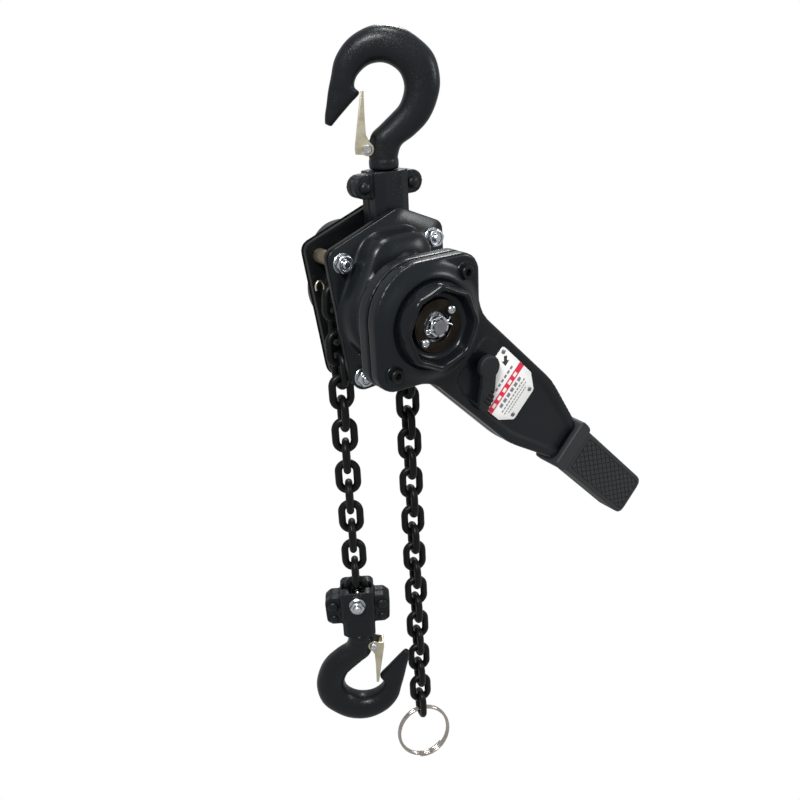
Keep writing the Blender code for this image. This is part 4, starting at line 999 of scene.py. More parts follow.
def brake_cover():
    """The stepped cover over the load brake: two steps with soft shoulders, and a lobe for the pawls."""
    bore = ((0.0, 0.0, 0.0158),)
    levels = [
        (COVER_LOBES, 0.0030, FLANGE_OUTER),
        (COVER_LOBES, 0.0013, FLANGE_OUTER + 0.0006),
        (COVER_LOBES, 0.0003, FLANGE_OUTER + 0.0022),
        (COVER_LOBES, 0.0000, 0.0270),
        (COVER_LOBES, -0.0004, 0.0320),
        (COVER_LOBES, -0.0014, 0.0350),
        (COVER_LOBES, -0.0032, 0.0366),
        (COVER_LOBES, -0.0056, COVER_STEP - 0.0002),
        (COVER_LOBES, -0.0080, COVER_STEP),
    ]
    core = [(-0.0008, 0.0410), (-0.0010, 0.0450), (-0.0022, 0.0482), (-0.0044, 0.0503)]
    core += [(-0.0072, 0.0513), (-0.0110, COVER_FRONT)]
    small = tuple((x, z, r - 0.0040) for x, z, r in COVER_LOBES)
    steps = [(COVER_CORE, growth, front) for growth, front in core]
    levels = levels[:7] + [(small, 0.0, COVER_STEP)] + [(COVER_CORE, -0.0002, COVER_STEP + 0.0012)] + steps
    levels += [(bore, 0.0060, COVER_FRONT), (bore, 0.0, COVER_FRONT)]
    plate = [(0.0, FLANGE_INNER + 0.0022), (0.0, FLANGE_OUTER - 0.0007), (0.0007, FLANGE_OUTER)]
    obj = pressed_cover("brake_cover_pressing", (0.0, 0.0), plate, levels)
    relax = obj.modifiers.new("relax", "LAPLACIANSMOOTH")
    relax.iterations = 2
    relax.lambda_factor = 0.05
    obj = thickened(applied(obj), 0.0020)
    return fitted(moved(obj, AT_FRAME), "cover_coat", "frame", "brake_cover", smooth_angle=radians(60))


def gear_cover():
    upper = around(radians(75), GEAR_CENTRES)
    lower = around(radians(-60), GEAR_CENTRES)
    dome = ((0.004, 0.0, 0.0300), (upper[0], upper[1] + 0.001, 0.0255), (*lower, 0.0235))
    shoulder = [(0.0030, 0.0206), (0.0013, 0.0212), (0.0003, 0.0228), (0.0, 0.0270), (-0.0002, 0.0480)]
    shoulder += [(-0.0012, 0.0516), (-0.0034, 0.0543), (-0.0068, 0.0556), (-0.0120, 0.0560)]
    levels = [(dome, growth, -front) for growth, front in shoulder]
    levels += [(((0.006, 0.002, radius),), 0.0, GEAR_COVER_BACK) for radius in (0.008, 0.0004)]
    plate = [(0.0, -FLANGE_INNER - 0.0022), (0.0, -FLANGE_OUTER + 0.0007), (0.0007, -FLANGE_OUTER)]
    obj = pressed_cover("gear_cover_pressing", (0.006, 0.002), plate, levels)
    edit = bmesh.new()
    edit.from_mesh(obj.data)
    ends = [e for e in edit.edges if e.is_boundary and e.verts[0].co.y > 0.0559]
    bmesh.ops.holes_fill(edit, edges=ends, sides=0)
    bmesh.ops.recalc_face_normals(edit, faces=edit.faces)
    edit.to_mesh(obj.data)
    edit.free()
    obj = thickened(obj, 0.0020)
    return fitted(moved(obj, AT_FRAME), "cover_coat", "frame", "gear_cover", smooth_angle=radians(60))


def side_plate(name, front, back):
    outline = rounded(inset(PLATE_CORNERS, 0.0005))
    holes = [circle(0.0128, sides=48), circle(0.0053, (0.0226, 0.0497), 32)]
    obj = bevelled(prism(name + "_sheet", outline, front, back, holes), 0.0005, 2)
    return fitted(moved(obj, AT_FRAME), "plate_coat", "frame", name)


def hex_nut(name, across, front, back, bore):
    """A hexagon with its corners turned off at both faces."""
    body = prism(name, circle(across / 2 / cos(pi / 6), (0, 0), 6), front, back)
    ball = [(0, front + 0.0001), (across * 0.46, front + 0.0001), (across * 0.60, front - 0.0011)]
    ball += [(across * 0.60, back + 0.0011), (across * 0.46, back - 0.0001), (0, back - 0.0001)]
    combine(body, lathe("turned_off", ball), "INTERSECT")
    combine(body, rod("bore", bore, front + 0.01, back - 0.01, steps=24))
    return body


def cover_fixing(hand, where, centre):
    """Nut and washer on a stud; build_fixings adds the stud with its rounded end."""
    at = AT_FRAME @ Matrix.Translation((centre[0], 0, centre[1]))
    washer = lathe("washer", washer_profile(0.0033, 0.0071, 0.0216, 0.0207))
    fitted(moved(washer, at), "bright_zinc", "frame")
    washer.name = f"washer_{where}_{hand}"
    nut = hex_nut(f"nut_{where}_{hand}", 0.0118, 0.0269, 0.0217, 0.0031)
    combine(nut, lathe("recess", [(0.0030, 0.0280), (0.0046, 0.0280), (0.0043, 0.0258), (0.0030, 0.0258)]))
    bevelled(nut, 0.0002, 2)
    fitted(moved(nut, at), "bright_zinc", "frame", f"cover_nut_{where}_{hand}")
    return at


def build_fixings():
    for hand, centre in LOWER_STUDS.items():
        at = cover_fixing(hand, "lower", centre)
        profile = [(0, 0.0285), (0.0021, 0.0283), (0.0029, 0.0274), (0.0029, 0.0130), (0.0045, 0.0130)]
        profile += [(0.0045, 0.0118), (0, 0.0116)]
        stud = lathe(f"stud_lower_{hand}", profile)
        fitted(moved(stud, at), "bright_zinc", "frame", f"cover_stud_lower_{hand}")
    for hand, centre in UPPER_STAYS.items():
        at = cover_fixing(hand, "upper", centre)
        shoulder = PLATE_INNER - GAP
        profile = [(0, 0.0285), (0.0021, 0.0283), (0.0029, 0.0274), (0.0029, shoulder), (0.0046, shoulder)]
        profile += [(0.0046, -shoulder), (0.0029, -shoulder)]
        profile += [(0.0029, -0.0209), (0.0055, -0.0209), (0.0055, -0.0240), (0.0045, -0.0250), (0, -0.0250)]
        stay = lathe(f"spacer_upper_{hand}", profile)
        fitted(moved(stay, at), "bright_zinc", "frame", f"stay_upper_{hand}")
        near, far = 0.0008 - shoulder, shoulder - 0.0008
        sleeve = lathe(f"stay_sleeve_{hand}", box_outline(0.0047, 0.0052, far, near))
        fitted(moved(sleeve, at), "spacer_zinc", "frame")


def chain_clip():
    """The S-shaped wire clip between the plates, behind the hook side of the chain."""
    points = []
    for i in range(15):
        turn = radians(200 - 16 * i)
        points.append((-0.0346 + 0.0033 * cos(turn), CLIP_DEPTH, 0.0170 + 0.0046 * sin(turn)))
    for i in range(1, 13):
        turn = radians(156 + 14 * i)
        points.append((-0.0281 + 0.0033 * cos(turn), CLIP_DEPTH, 0.0120 + 0.0044 * sin(turn)))
    obj = tube("chain_clip", points, 0.0009)
    return fitted(moved(obj, AT_FRAME), "latch_zinc", "frame", smooth_angle=radians(60))


def build_frame():
    side_plate("side_plate_front", PLATE_OUTER, PLATE_INNER)
    side_plate("side_plate_rear", -PLATE_INNER, -PLATE_OUTER)
    brake_cover()
    gear_cover()
    build_fixings()
    chain_clip()


# ---------------------------------------------------------------- lever

LEVER_CORNERS = (
    (-HEAD_DIAGONAL, 0.0, 0.038),
    (0.0, -HEAD_DIAGONAL, 0.014),
    (HEAD_DIAGONAL - ARM_HALF_WIDTH, -ARM_HALF_WIDTH, 0.028),
    (0.128, -ARM_HALF_WIDTH, 0.070),
    (ARM_END, -0.0170, 0.002),
    (ARM_END, 0.0170, 0.002),
    (0.128, ARM_HALF_WIDTH, 0.070),
    (HEAD_DIAGONAL - ARM_HALF_WIDTH, ARM_HALF_WIDTH, 0.028),
    (0.0, HEAD_DIAGONAL, 0.014),
)
TANG_CORNERS = both_sides((0.165, 0.0135, 0), (TANG_END, 0.0135, 0.003))
PANEL_CORNERS = (
    (0.046, -0.0190, 0.006),
    (0.060, -0.0245, 0.010),
    (0.124, -0.0235, 0.050),
    (0.188, -0.0090, 0.001),
    (0.188, 0.0090, 0.001),
    (0.124, 0.0235, 0.050),
    (0.060, 0.0245, 0.010),
    (0.046, 0.0190, 0.006),
)


def front_relief(points):
    """The boss under the handwheel, the dished shoulders of the head, and the sunk panel of the arm."""
    from_axis = np.hypot(points[:, 0], points[:, 1])
    boss = 0.0047 * (1 - smooth_step(from_axis, 0.0318, 0.0430))
    under_wheel = 0.0012 * (1 - smooth_step(from_axis, 0.0300, 0.0312))
    panel = 0.0020 * smooth_step(depth_inside(points, rounded(PANEL_CORNERS)), -0.0004, 0.0034)
    return boss - under_wheel - panel


def lever_shell(name, edge, face, tang_face, side):
    """Half of the hollow lever. side is 1 when its face is towards the front."""

    def layer(corners, one, other):
        return prism("layer", rounded(corners), max(one, other), min(one, other))

    obj = prism(name, rounded(LEVER_CORNERS), max(edge, face), min(edge, face))
    combine(obj, layer(TANG_CORNERS, edge, tang_face), "UNION")
    open_edge = edge - side * 0.002
    ceiling = face - side * LEVER_WALL
    if side > 0:
        ceiling -= PANEL_DEPTH
    combine(obj, layer(inset(LEVER_CORNERS, LEVER_WALL), open_edge, ceiling))
    tang = inset(TANG_CORNERS, LEVER_WALL)
    into_arm = [(x - 0.004, z, radius) for x, z, radius in (tang[0], tang[3])]
    room = (into_arm[0], tang[1], tang[2], into_arm[1])
    combine(obj, layer(room, open_edge, tang_face - side * LEVER_WALL))
    combine(obj, rod("shaft_room", 0.0157, 0.1, 0.05, steps=64))
    for sign in (-1, 1):
        combine(obj, rod("screw_room", 0.0033, 0.1, 0.05, (0, sign * HEAD_SCREW), steps=32))
    return obj


def build_lever():
    front = lever_shell("lever_front_pressing", LEVER_SEAM + GAP, LEVER_FRONT, 0.0770, 1)
    combine(front, rod("selector_room", 0.0043, 0.1, 0.05, SELECTOR, steps=32))
    softened(front, 0.0011, 9)
    stamped(front, 0.0752, 0.0772, front_relief)
    fitted(moved(front, AT_LEVER), "cover_coat", "lever", "lever_front_shell", smooth_angle=radians(70))
    rear = lever_shell("lever_rear_pressing", LEVER_SEAM, LEVER_BACK, 0.0640, -1)
    softened(rear, 0.0011, 9)
    fitted(moved(rear, AT_LEVER), "cover_coat", "lever", "lever_rear_shell", smooth_angle=radians(70))
    for sign, hand in ((1, "upper"), (-1, "lower")):
        socket_screw(hand, (0, sign * HEAD_SCREW))
    build_grip()
    build_nameplate()
    build_selector()


def socket_screw(hand, centre):
    top = LEVER_FRONT + GAP
    profile = [(0, top + 0.0040), (0.0042, top + 0.0040), (0.0047, top + 0.0035)]
    profile += [(0.0047, top), (0.0029, top)]
    profile += [(0.0029, LEVER_BACK), (0, LEVER_BACK)]
    obj = lathe("socket_screw_" + hand, profile, centre)
    combine(obj, prism("socket", circle(0.0027, centre, 6), top + 0.006, top + 0.0014))
    ring = [(0.0033, top + 0.0008), (0.0068, top + 0.0008), (0.0072, top + 0.0003)]
    ring += [(0.0072, top - 0.0006), (0.0033, top - 0.0006)]
    collar = lathe("collar", ring, centre)
    fitted(moved(collar, AT_LEVER), "cover_coat", "lever")
    collar.name = "screw_collar_" + hand
    fitted(moved(obj, AT_LEVER), "plate_coat", "lever", f"lever_screw_{hand}")


GRIP_PANEL = both_sides((0.1985, 0.0145, 0.002), (0.2845, 0.0145, 0.004))


def build_grip():
    body = ((0.180, -0.0180, 0), (GRIP_END, -0.0180, 0.007), (GRIP_END, 0.0180, 0.007), (0.180, 0.0180, 0))
    obj = prism("grip_moulding", rounded(body), 0.0805, 0.0600)
    collar = both_sides((0.1785, 0.0210, 0.003), (0.1920, 0.0205, 0.004))
    combine(obj, prism("collar", rounded(collar), 0.0830, 0.0575), "UNION")
    cavity = ((0.170, -0.0138), (TANG_END + GAP, -0.0138), (TANG_END + GAP, 0.0138), (0.170, 0.0138))
    combine(obj, prism("tang_room", cavity, 0.0773, 0.0637))
    softened(obj, 0.0009, 5)
    for front in (0.0805, 0.0600):
        field = rounded(GRIP_PANEL)
        groove = prism("groove", field, front + 0.0006, front - 0.0006, [rounded(inset(GRIP_PANEL, 0.0007))])
        combine(obj, groove)
        upright = Matrix.Translation((0.241, -front, 0)) @ Matrix.Rotation(pi / 2, 4, "X")
        for way in (-1, 1):
            values = {
                "Ribs": 20,
                "Spacing": 0.0080,
                "Angle": way * radians(56),
                "Size": Vector((0.0007, 0.12, 0.0012)),
                "Finish": FINISHES["grip_rubber"],
            }
            bars = moved(from_tree("grip_bars", RIBS, values), upright)
            combine(bars, prism("field", field, front + 0.01, front - 0.01), "INTERSECT")
            combine(obj, bars)
    fitted(moved(obj, AT_LEVER), "grip_rubber", "lever", "lever_grip", smooth_angle=radians(40))


# Rows of dashes: where the row starts along the lever, how tall, from and to across it, and how many
NAMEPLATE_ROWS = (
    (0.0842, 0.0020, -0.0060, 0.0175, 6),
    (0.0968, 0.0030, -0.0130, 0.0155, 6),
    (0.1020, 0.0012, -0.0150, 0.0165, 11),
    (0.1052, 0.0009, -0.0150, 0.0150, 14),
    (0.1080, 0.0009, -0.0120, 0.0120, 11),
)
ARROW = ((-3, -1.2), (0.2, -1.2), (0.2, -3), (3.6, 0), (0.2, 3), (0.2, 1.2), (-3, 1.2))
ARROW_TURN = radians(45.5)
NAMEPLATE_RIVETS = ((0.0700, 0.0198), (0.1130, 0.0122), (0.1130, -0.0108))


def build_nameplate():
    """A white plate with a red band, rows of plain dashes and an arrow, and no words."""
    recess = LEVER_FRONT - PANEL_DEPTH + GAP
    top = recess + 0.0008
    ink = top + 0.00004
    under = top - 0.0002
    corners = (
        (0.0670, 0.0228, 0.002),
        (0.1040, 0.0228, 0.002),
        (0.1170, 0.0141, 0.003),
        (0.1170, -0.0131, 0.003),
        (0.1040, -0.0208, 0.002),
        (0.0872, -0.0208, 0.001),
        (0.0862, -0.0110, 0.003),
        (0.0670, 0.0085, 0.002),
    )
    obj = bevelled(prism("nameplate_sheet", rounded(corners), top, recess), 0.0002, 2)
    fitted(moved(obj, AT_LEVER), "plate_white", "lever", "nameplate")
    band = prism("nameplate_band", box_outline(0.0893, 0.0948, -0.0206, 0.0226), ink, under)
    fitted(moved(band, AT_LEVER), "plate_red", "lever")
    blocks = [
        prism("block", box_outline(0.0907, 0.0935, z - 0.0018, z + 0.0018), ink + 0.00004, under)
        for z in (-0.0150, -0.0080, -0.0010, 0.0060, 0.0130)
    ]
    fitted(moved(joined("nameplate_blocks", blocks), AT_LEVER), "plate_white", "lever")
    dashes = []
    for x, tall, low, high, count in NAMEPLATE_ROWS:
        pitch = (high - low) / count
        for i in range(count):
            z = low + i * pitch
            dashes.append(prism("dash", box_outline(x, x + tall, z, z + pitch * 0.68), ink, under))
    fitted(moved(joined("nameplate_dashes", dashes), AT_LEVER), "plate_grey", "lever")
    at = Matrix.Translation((0.0765, 0, 0.0160)) @ Matrix.Rotation(ARROW_TURN, 4, "Y")
    arrow = [(x * 0.0012, z * 0.0012) for x, z in ARROW]
    fitted(moved(prism("nameplate_arrow", arrow, ink, under), AT_LEVER @ at), "plate_ink", "lever")
    rivets = [dome_rivet_head(top, centre) for centre in NAMEPLATE_RIVETS]
    fitted(moved(joined("nameplate_rivets", rivets), AT_LEVER), "ground_steel", "lever")


def dome_rivet_head(base, centre):
    profile = [(0, base + 0.0009), (0.0010, base + 0.0008), (0.0017, base + 0.0004)]
    profile += [(0.0019, base - 0.0001), (0, base - 0.0001)]
    return lathe("drive_rivet", profile, centre, 24)


def build_selector():
    """The change-over knob: a round cap with a broad finger, on the stem of the selector's pawl."""
    at = AT_LEVER @ Matrix.Translation((SELECTOR[0], 0, SELECTOR[1]))
    cap_profile = [(0, 0.0845), (0.0074, 0.0845), (0.0085, 0.0840), (0.0089, 0.0830)]
    cap_profile += [(0.0089, 0.0793), (0, 0.0793)]
    knob = lathe("selector_cap", cap_profile, steps=56)
    corners = ((0.002, -0.006, 0), (0.013, -0.006, 0.004), (0.0212, -0.0160, 0.003), (0.0222, -0.0270, 0.003))
    finger = rounded(corners + ((0.0140, -0.0275, 0.004), (0.006, -0.0165, 0.006)))
    combine(knob, prism("finger", finger, 0.0833, 0.0795), "UNION")
    neck = hull([(0, 0, 0.0062), (0.0125, -0.0145, 0.0058)], sides=48)
    combine(knob, prism("neck", neck, 0.0837, 0.0797), "UNION")
    for i in range(4):
        z = -0.0130 - 0.0030 * i
        combine(knob, prism("notch", box_outline(0.0130, 0.0260, z, z + 0.0010), 0.0850, 0.0822))
    combine(knob, rod("stem", 0.0040, 0.0800, 0.0595), "UNION")
    softened(knob, 0.0005, 3)
    fitted(moved(knob, at), "knob_plastic", "selector", "selector_knob", smooth_angle=radians(50))


# ---------------------------------------------------------------- handwheel end

WHEEL_LOBES = 8
WHEEL_START = radians(-2)


def wheel_ring(radius, lobe, front, sides=160):
    """One ring of the handwheel: a circle with soft corners that stand out by twice the lobe."""
    ring = []
    for i in range(sides):
        a = 2 * pi * i / sides
        wave = cos(WHEEL_LOBES * (a - WHEEL_START))
        r = radius + lobe * (wave + 0.22 * (wave * wave - 0.5))
        ring.append((r * cos(a), -front, r * sin(a)))
    return ring


def handwheel():
    outer = [(0.0290, 0.0, 0.0834), (0.0298, 0.0001, 0.0842), (0.0297, 0.0003, 0.0862)]
    outer += [(0.0290, 0.0007, 0.0895), (0.0282, 0.0010, 0.0925), (0.0275, 0.0010, 0.0941)]
    outer += [(0.0266, 0.0009, 0.0949), (0.0257, 0.0008, 0.0950)]
    inner = [(0.0249, 0.0007, 0.0946), (0.0243, 0.0006, 0.0936), (0.0238, 0.0004, 0.0905)]
    inner += [(0.0233, 0.0002, 0.0876)]
    inner += [(0.0222, 0.0, 0.0858), (0.0205, 0.0, 0.0851), (0.0098, 0.0, 0.0851), (0.0094, 0.0, 0.0847)]
    under = [(0.0094, 0.0, 0.0834)]
    rings = [wheel_ring(*level) for level in outer + inner + under]
    obj = skin("handwheel_cup", rings, closed_loop=True)
    fitted(moved(obj, AT_DRIVE), "wheel_coat", "handwheel", "handwheel", smooth_angle=radians(60))


def retainer():
    profile = [(0.0110, 0.0868), (0.0113, 0.0871), (0.0182, 0.0871), (0.0185, 0.0868)]
    profile += [(0.0185, 0.0854), (0.0110, 0.0854)]
    disc = moved(lathe("retainer_plate", profile, steps=72), AT_DRIVE)
    fitted(disc, "bronzed_steel", "handwheel", "retainer_disc")
    for hand, angle in (("upper", radians(41)), ("lower", radians(221))):
        centre = around(angle, 0.0145)
        head = [(0, 0.0897), (0.0016, 0.0896), (0.0026, 0.0891), (0.0032, 0.0883), (0.0033, 0.0874)]
        head += [(0.0015, 0.0874), (0.0015, 0.0837), (0, 0.0837)]
        screw = lathe("cross_screw_" + hand, head, centre, 40)
        for turn in (0.3, 0.3 + pi / 2):
            bar = turned(box_outline(-0.0021, 0.0021, -0.0004, 0.0004), turn, centre)
            combine(screw, prism("cross", bar, 0.0910, 0.0886))
        bevelled(screw, 0.00012, 1)
        fitted(moved(screw, AT_DRIVE), "bright_zinc", "handwheel", "retainer_screw_" + hand)


SPLIT_PIN_FRONT = 0.0883
SPLIT_PIN_TURN = radians(13)


def castle_nut():
    nut = hex_nut("castle_nut_body", 0.0142, 0.0862, 0.0838, 0.0053)
    crown = [(0.0053, 0.0890), (0.0055, 0.0892), (0.0069, 0.0892), (0.0072, 0.0889)]
    crown += [(0.0072, 0.0852), (0.0053, 0.0852)]
    combine(nut, lathe("crown", crown), "UNION")
    for i in range(3):
        turn = radians(60 * i) + SPLIT_PIN_TURN
        slot = turned(box_outline(-0.01, 0.01, -0.0013, 0.0013), turn)
        combine(nut, prism("slot", slot, 0.0905, 0.0866))
    bevelled(nut, 0.0002, 2)
    fitted(moved(nut, AT_DRIVE), "bright_zinc", "pinion", "castle_nut")


def split_pin():
    """Eye at one end, two legs through the shaft, spread at the other end."""
    leg = 0.00052
    pieces = []
    for sign in (-1, 1):
        points = [(-0.0104, 0.0, 0.0), (-0.0099, 0.0, sign * 0.0011), (-0.0088, 0.0, sign * 0.0016)]
        points += [(-0.0077, 0.0, sign * 0.0011)]
        points += [(-0.0068, 0.0, sign * leg), (0.0070, 0.0, sign * leg), (0.0078, -0.0001, sign * 0.0008)]
        points += [(0.0091, -0.0002, sign * 0.0020), (0.0100, -0.0003, sign * 0.0030)]
        pieces.append(tube("leg", points, leg, sides=10))
    pin = joined("split_pin_wire", pieces)
    at = AT_DRIVE @ Matrix.Translation((0, -SPLIT_PIN_FRONT, 0)) @ Matrix.Rotation(-SPLIT_PIN_TURN, 4, "Y")
    fitted(moved(pin, at), "bright_zinc", "pinion", "split_pin", smooth_angle=radians(60))


def build_handwheel():
    handwheel()
    retainer()
    castle_nut()
    split_pin()


# ---------------------------------------------------------------- chain

CHAIN_PITCH = 0.018
PITCH_RADIUS = 0.0293
HALF_WRAP = 5 * CHAIN_PITCH
FIRST_WRAPPED = 0.00315
WRAP_STEP = pi * CHAIN_PITCH / HALF_WRAP


def strand(name, body, node, top, links, step, first_turn, twist=0.0, twist_links=4.0):
    values = {
        "Links": links,
        "Start": top,
        "Step": Vector((0, 0, -step)),
        "First turn": first_turn,
        "Twist": twist,
        "Twist links": twist_links,
        "Finish": FINISHES["chain_black"],
    }
    obj = from_tree(name, CHAIN_LINKS, values)
    return fitted(obj, "chain_black", body, node, smooth_angle=radians(60))


def build_chain():
    hook_x = SHEAVE_CENTRE.x - PITCH_RADIUS
    slack_x = SHEAVE_CENTRE.x + PITCH_RADIUS
    axis_z = SHEAVE_CENTRE.z
    around_sheave = {
        "Links": 5,
        "Start": Vector((-PITCH_RADIUS, 0, 0)),
        "Step": Vector((0, 0, 0)),
        "Arc start": pi * FIRST_WRAPPED / HALF_WRAP,
        "Arc step": WRAP_STEP,
        "First turn": 0.0,
        "Twist links": 4.0,
        "Finish": FINISHES["chain_black"],
    }
    arc = moved(from_tree("wrap_arc", CHAIN_LINKS, around_sheave), AT_DRIVE)
    ends = []
    for x, drop in ((hook_x, 0.01485), (slack_x, 0.00315)):
        start = Vector((x, 0, axis_z - drop))
        values = {"Links": 1, "Start": start, "First turn": pi / 2, "Finish": FINISHES["chain_black"]}
        ends.append(from_tree("wrap_end", CHAIN_LINKS, values))
    wrap = joined("chain_on_sheave", [arc, *ends])
    fitted(wrap, "chain_black", "frame", "chain_wrap", smooth_angle=radians(60))
    lift = 0.0012
    step = CHAIN_PITCH - 0.0001
    start = Vector((hook_x, 0, axis_z - 0.03285 + lift))
    strand("hook_fall_upper", "hook_strand_top", "hook_chain_upper", start, 2, step, 0.0)
    start = Vector((hook_x, 0, axis_z - 0.06885 + 2 * lift))
    strand("hook_fall", "hook_strand", "hook_chain_lower", start, 11, CHAIN_PITCH, 0.0, HOOK_TURN)
    start = Vector((slack_x, 0, axis_z - 0.02115 + lift))
    strand("slack_fall_upper", "slack_strand_top", "slack_chain_upper", start, 3, step, 0.0)
    start = Vector((slack_x, 0, axis_z - 0.07515 + 2 * lift))
    strand("slack_fall", "slack_strand", "slack_chain_lower", start, 19, CHAIN_PITCH, pi / 2, SLACK_TURN)
    end_ring()


END_RING_RADIUS = 0.0238


def end_ring():
    """A split ring: a little over two turns of wire."""
    at_eye = joint_at("end_ring_swing")
    swing = Vector(JOINTS["end_ring_swing"]["axis"])
    turn = atan2(swing.y, swing.x)
    values = {
        "Turns": 2.16,
        "Radius": END_RING_RADIUS,
        "End radius": END_RING_RADIUS,
        "Height": 0.0050,
        "Wire": 0.00130,
        "Points per turn": 72,
        "Finish": FINISHES["ring_nickel"],
    }
    obj = from_tree("end_ring_wire", COIL, values)
    lean = radians(-12)
    hang = Matrix.Translation(at_eye) @ Matrix.Rotation(turn, 4, "Z") @ Matrix.Rotation(lean, 4, "X")
    lying = Matrix.Translation((0, 0.0025, -END_RING_RADIUS)) @ Matrix.Rotation(pi / 2, 4, "X")
    start = Matrix.Rotation(radians(-48), 4, "Z")
    fitted(moved(obj, hang @ lying @ start), "ring_nickel", "end_ring", "end_ring", smooth_angle=radians(60))


# ---------------------------------------------------------------- bottom hook assembly

def bottom_yoke_half(name, side):
    gap = GAP / 2

    def upright(outline, low, high):
        return block("layer", [(x, -side * y) for x, y in outline], low, high)

    wide = cut_corners(0.014, 0.0122, gap, 0.0112, 0.013)
    obj = upright(wide, -0.0150, 0.0112)
    face = ((-0.016, -0.03, 0), (0.016, -0.03, 0), (0.016, 0.0112, 0.0075), (-0.016, 0.0112, 0.0075))
    combine(obj, prism("face", rounded(face), 0.03, -0.03), "INTERSECT")
    neck = cut_corners(0.0135, 0.0095, gap, 0.008, 0.0113)
    combine(obj, upright(neck, -BOLT_TO_YOKE_FACE + GAP, -0.0100), "UNION")
    ears = rounded(
        (
            (-0.0270, 0.0000, 0.004),
            (-0.0220, 0.0045, 0.004),
            (0.0220, 0.0045, 0.004),
            (0.0270, 0.0000, 0.004),
            (0.0262, -0.0185, 0.004),
            (0.0215, -0.0215, 0.004),
            (-0.0215, -0.0215, 0.004),
            (-0.0262, -0.0185, 0.004),
        )
    )
    front, back = sorted((side * 0.0075, side * gap), reverse=True)
    combine(obj, prism("ears", ears, front, back), "UNION")
    stem = moved(lathe("stem_room", STEM_ROOM), Matrix.Rotation(-pi / 2, 4, "X"))
    combine(obj, moved(stem, Matrix.Translation((0, 0, -BOLT_TO_YOKE_FACE))))
    link_room = box_outline(-0.0126, 0.0126, -0.001, 0.0041)
    combine(obj, upright(link_room, -0.0112, 0.0200))
    next_room = box_outline(-0.0060, 0.0060, -0.001, 0.0111)
    combine(obj, upright(next_room, 0.0050, 0.0200))
    combine(obj, rod("bolt_room", 0.0035, 0.03, -0.03, steps=24))
    softened(obj, 0.0006, 4)
    obj.name = name + "_forging"
    fitted(moved(obj, AT_BOTTOM_YOKE), "forged_black", "bottom_yoke", name, smooth_angle=radians(50))


def build_bottom():
    hook("bottom_hook_forging", AT_BOTTOM_HOOK, "bottom_hook", "bottom_hook", longer=0.006)
    latch("bottom_latch_sheet", AT_BOTTOM_HOOK, "bottom_latch", "bottom_latch")
    latch_pin("bottom_latch_rivet", AT_BOTTOM_HOOK, "bottom_hook", "bottom_latch_pin")
    bottom_yoke_half("bottom_yoke_front", 1)
    bottom_yoke_half("bottom_yoke_rear", -1)
    for sign, hand in ((-1, "left"), (1, "right")):
        for z, radius, where in ((-0.0040, 0.0048, "upper"), (-0.0160, 0.0036, "lower")):
            rivet = dome_head(f"ear_rivet_{where}_{hand}", (sign * 0.0203, z), 0.0074, radius, radius * 0.65)
            fitted(moved(rivet, AT_BOTTOM_YOKE), "forged_black", "bottom_yoke")
    bolt = [(0, 0.0210), (0.0024, 0.0209), (0.0031, 0.0202), (0.0031, -0.0133), (0.0058, -0.0133)]
    bolt += [(0.0058, -0.0162), (0.0050, -0.0170), (0, -0.0170)]
    fitted(moved(lathe("chain_bolt", bolt), AT_BOTTOM_YOKE), "bright_zinc", "bottom_yoke", "bottom_yoke_bolt")
    nut = bevelled(hex_nut("chain_bolt_nut", 0.0104, 0.0186, 0.0133, 0.0034), 0.0002, 2)
    washer = lathe("nut_face", washer_profile(0.0034, 0.0066, 0.0140, 0.01305))
    fitted(moved(washer, AT_BOTTOM_YOKE), "bright_zinc", "bottom_yoke")
    fitted(moved(nut, AT_BOTTOM_YOKE), "bright_zinc", "bottom_yoke", "bottom_yoke_nut")


# ---------------------------------------------------------------- solids that stay

KEPT = {
    "ground_steel": (
        "yoke_pin load_sheave load_gear disc_gear_upper disc_gear_lower pinion_shaft brake_hub ratchet_disc"
        " brake_pawl change_gear selector_pawl"
    ),
    "bright_zinc": "guide_roller",
    "spacer_zinc": "stay_lower",
    "friction": "friction_disc_inner friction_disc_outer",
}


def dress_solids():
    for finish, names in KEPT.items():
        for name in names.split():
            solid = frame["nodes"][name]
            for place in solid.material_slots:
                place.material = FINISHES[finish]


# ---------------------------------------------------------------- studio

CAMERA_AT = Vector((-0.3213, -0.5208, 0.0083))
LOOK_AT = Vector((0.0040, 0.0, -0.2485))
CAMERA_ROLL = radians(-2.75)
LENS = 37.8
FLOOR_BELOW = 0.05
WORLD_STRENGTH = 0.5
LIGHT_SIZE = 0.3
LIGHTS = (
    ("key", (-0.75, -0.75, 0.75), 18),
    ("fill", (1.0, -0.9, 0.25), 5),
    ("rim", (0.7, 0.9, 0.7), 8),
    ("top", (0.05, -0.15, 1.0), 7),
)


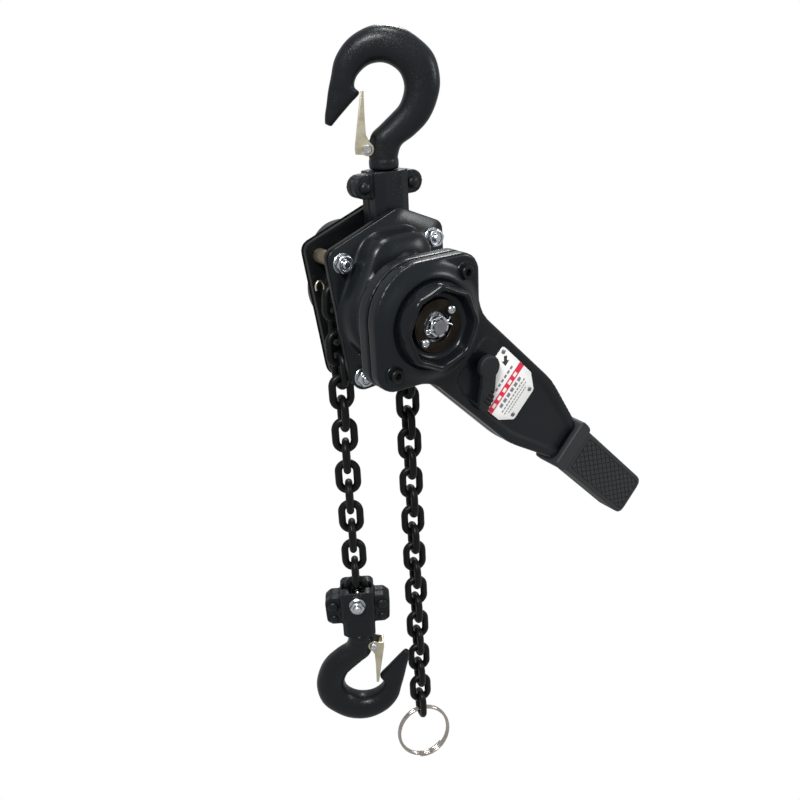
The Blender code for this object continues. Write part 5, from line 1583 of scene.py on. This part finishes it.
def soft_light(name, place, target, size, power):
    light = bpy.data.lights.new(name, "AREA")
    light.shape = "SQUARE"
    light.size = size
    light.energy = power
    lamp = bpy.data.objects.new(name, light)
    lamp.location = place
    lamp.rotation_euler = (Vector(target) - Vector(place)).to_track_quat("-Z", "Y").to_euler()
    bpy.context.scene.collection.objects.link(lamp)


def build_studio():
    camera = bpy.data.cameras.new("camera")
    camera.lens = LENS
    camera.clip_start = 0.01
    holder = bpy.data.objects.new("camera", camera)
    holder.location = CAMERA_AT
    aim = (LOOK_AT - CAMERA_AT).to_track_quat("-Z", "Y") @ Quaternion((0, 0, 1), CAMERA_ROLL)
    holder.rotation_euler = aim.to_euler()
    bpy.context.scene.collection.objects.link(holder)
    bpy.context.scene.camera = holder
    floor_z = CAD_BOX[0].z - FLOOR_BELOW
    rise = [(0.0001, 0.0), (3.2, 0.0), (4.0, 0.07), (4.6, 0.3), (5.0, 0.7), (5.2, 1.4), (5.2, 2.2)]
    rings = [[(x, y, floor_z + z) for x, y in circle(r, sides=96)] for r, z in rise]
    floor = skin("floor", rings, capped=False)
    pale = bpy.data.materials.new("pale_floor")
    pale.use_nodes = True
    shader = pale.node_tree.nodes["Principled BSDF"]
    shader.inputs["Base Color"].default_value = (0, 0, 0, 1)
    shader.inputs["Specular IOR Level"].default_value = 0
    shader.inputs["Emission Color"].default_value = (1, 1, 1, 1)
    shader.inputs["Emission Strength"].default_value = 1.0
    floor.data.materials.append(pale)
    shaded(floor)
    floor.visible_glossy = floor.visible_diffuse = False
    middle = (0, 0, -0.28)
    for name, place, power in LIGHTS:
        soft_light(name, place, middle, LIGHT_SIZE, power)
    world = bpy.data.worlds.new("studio")
    world.use_nodes = True
    world.node_tree.nodes["Background"].inputs["Color"].default_value = (1, 1, 1, 1)
    world.node_tree.nodes["Background"].inputs["Strength"].default_value = WORLD_STRENGTH
    bpy.context.scene.world = world
    bpy.context.scene.view_settings.view_transform = "Standard"


build_top()
build_frame()
build_lever()
build_handwheel()
build_chain()
build_bottom()
dress_solids()
build_studio()
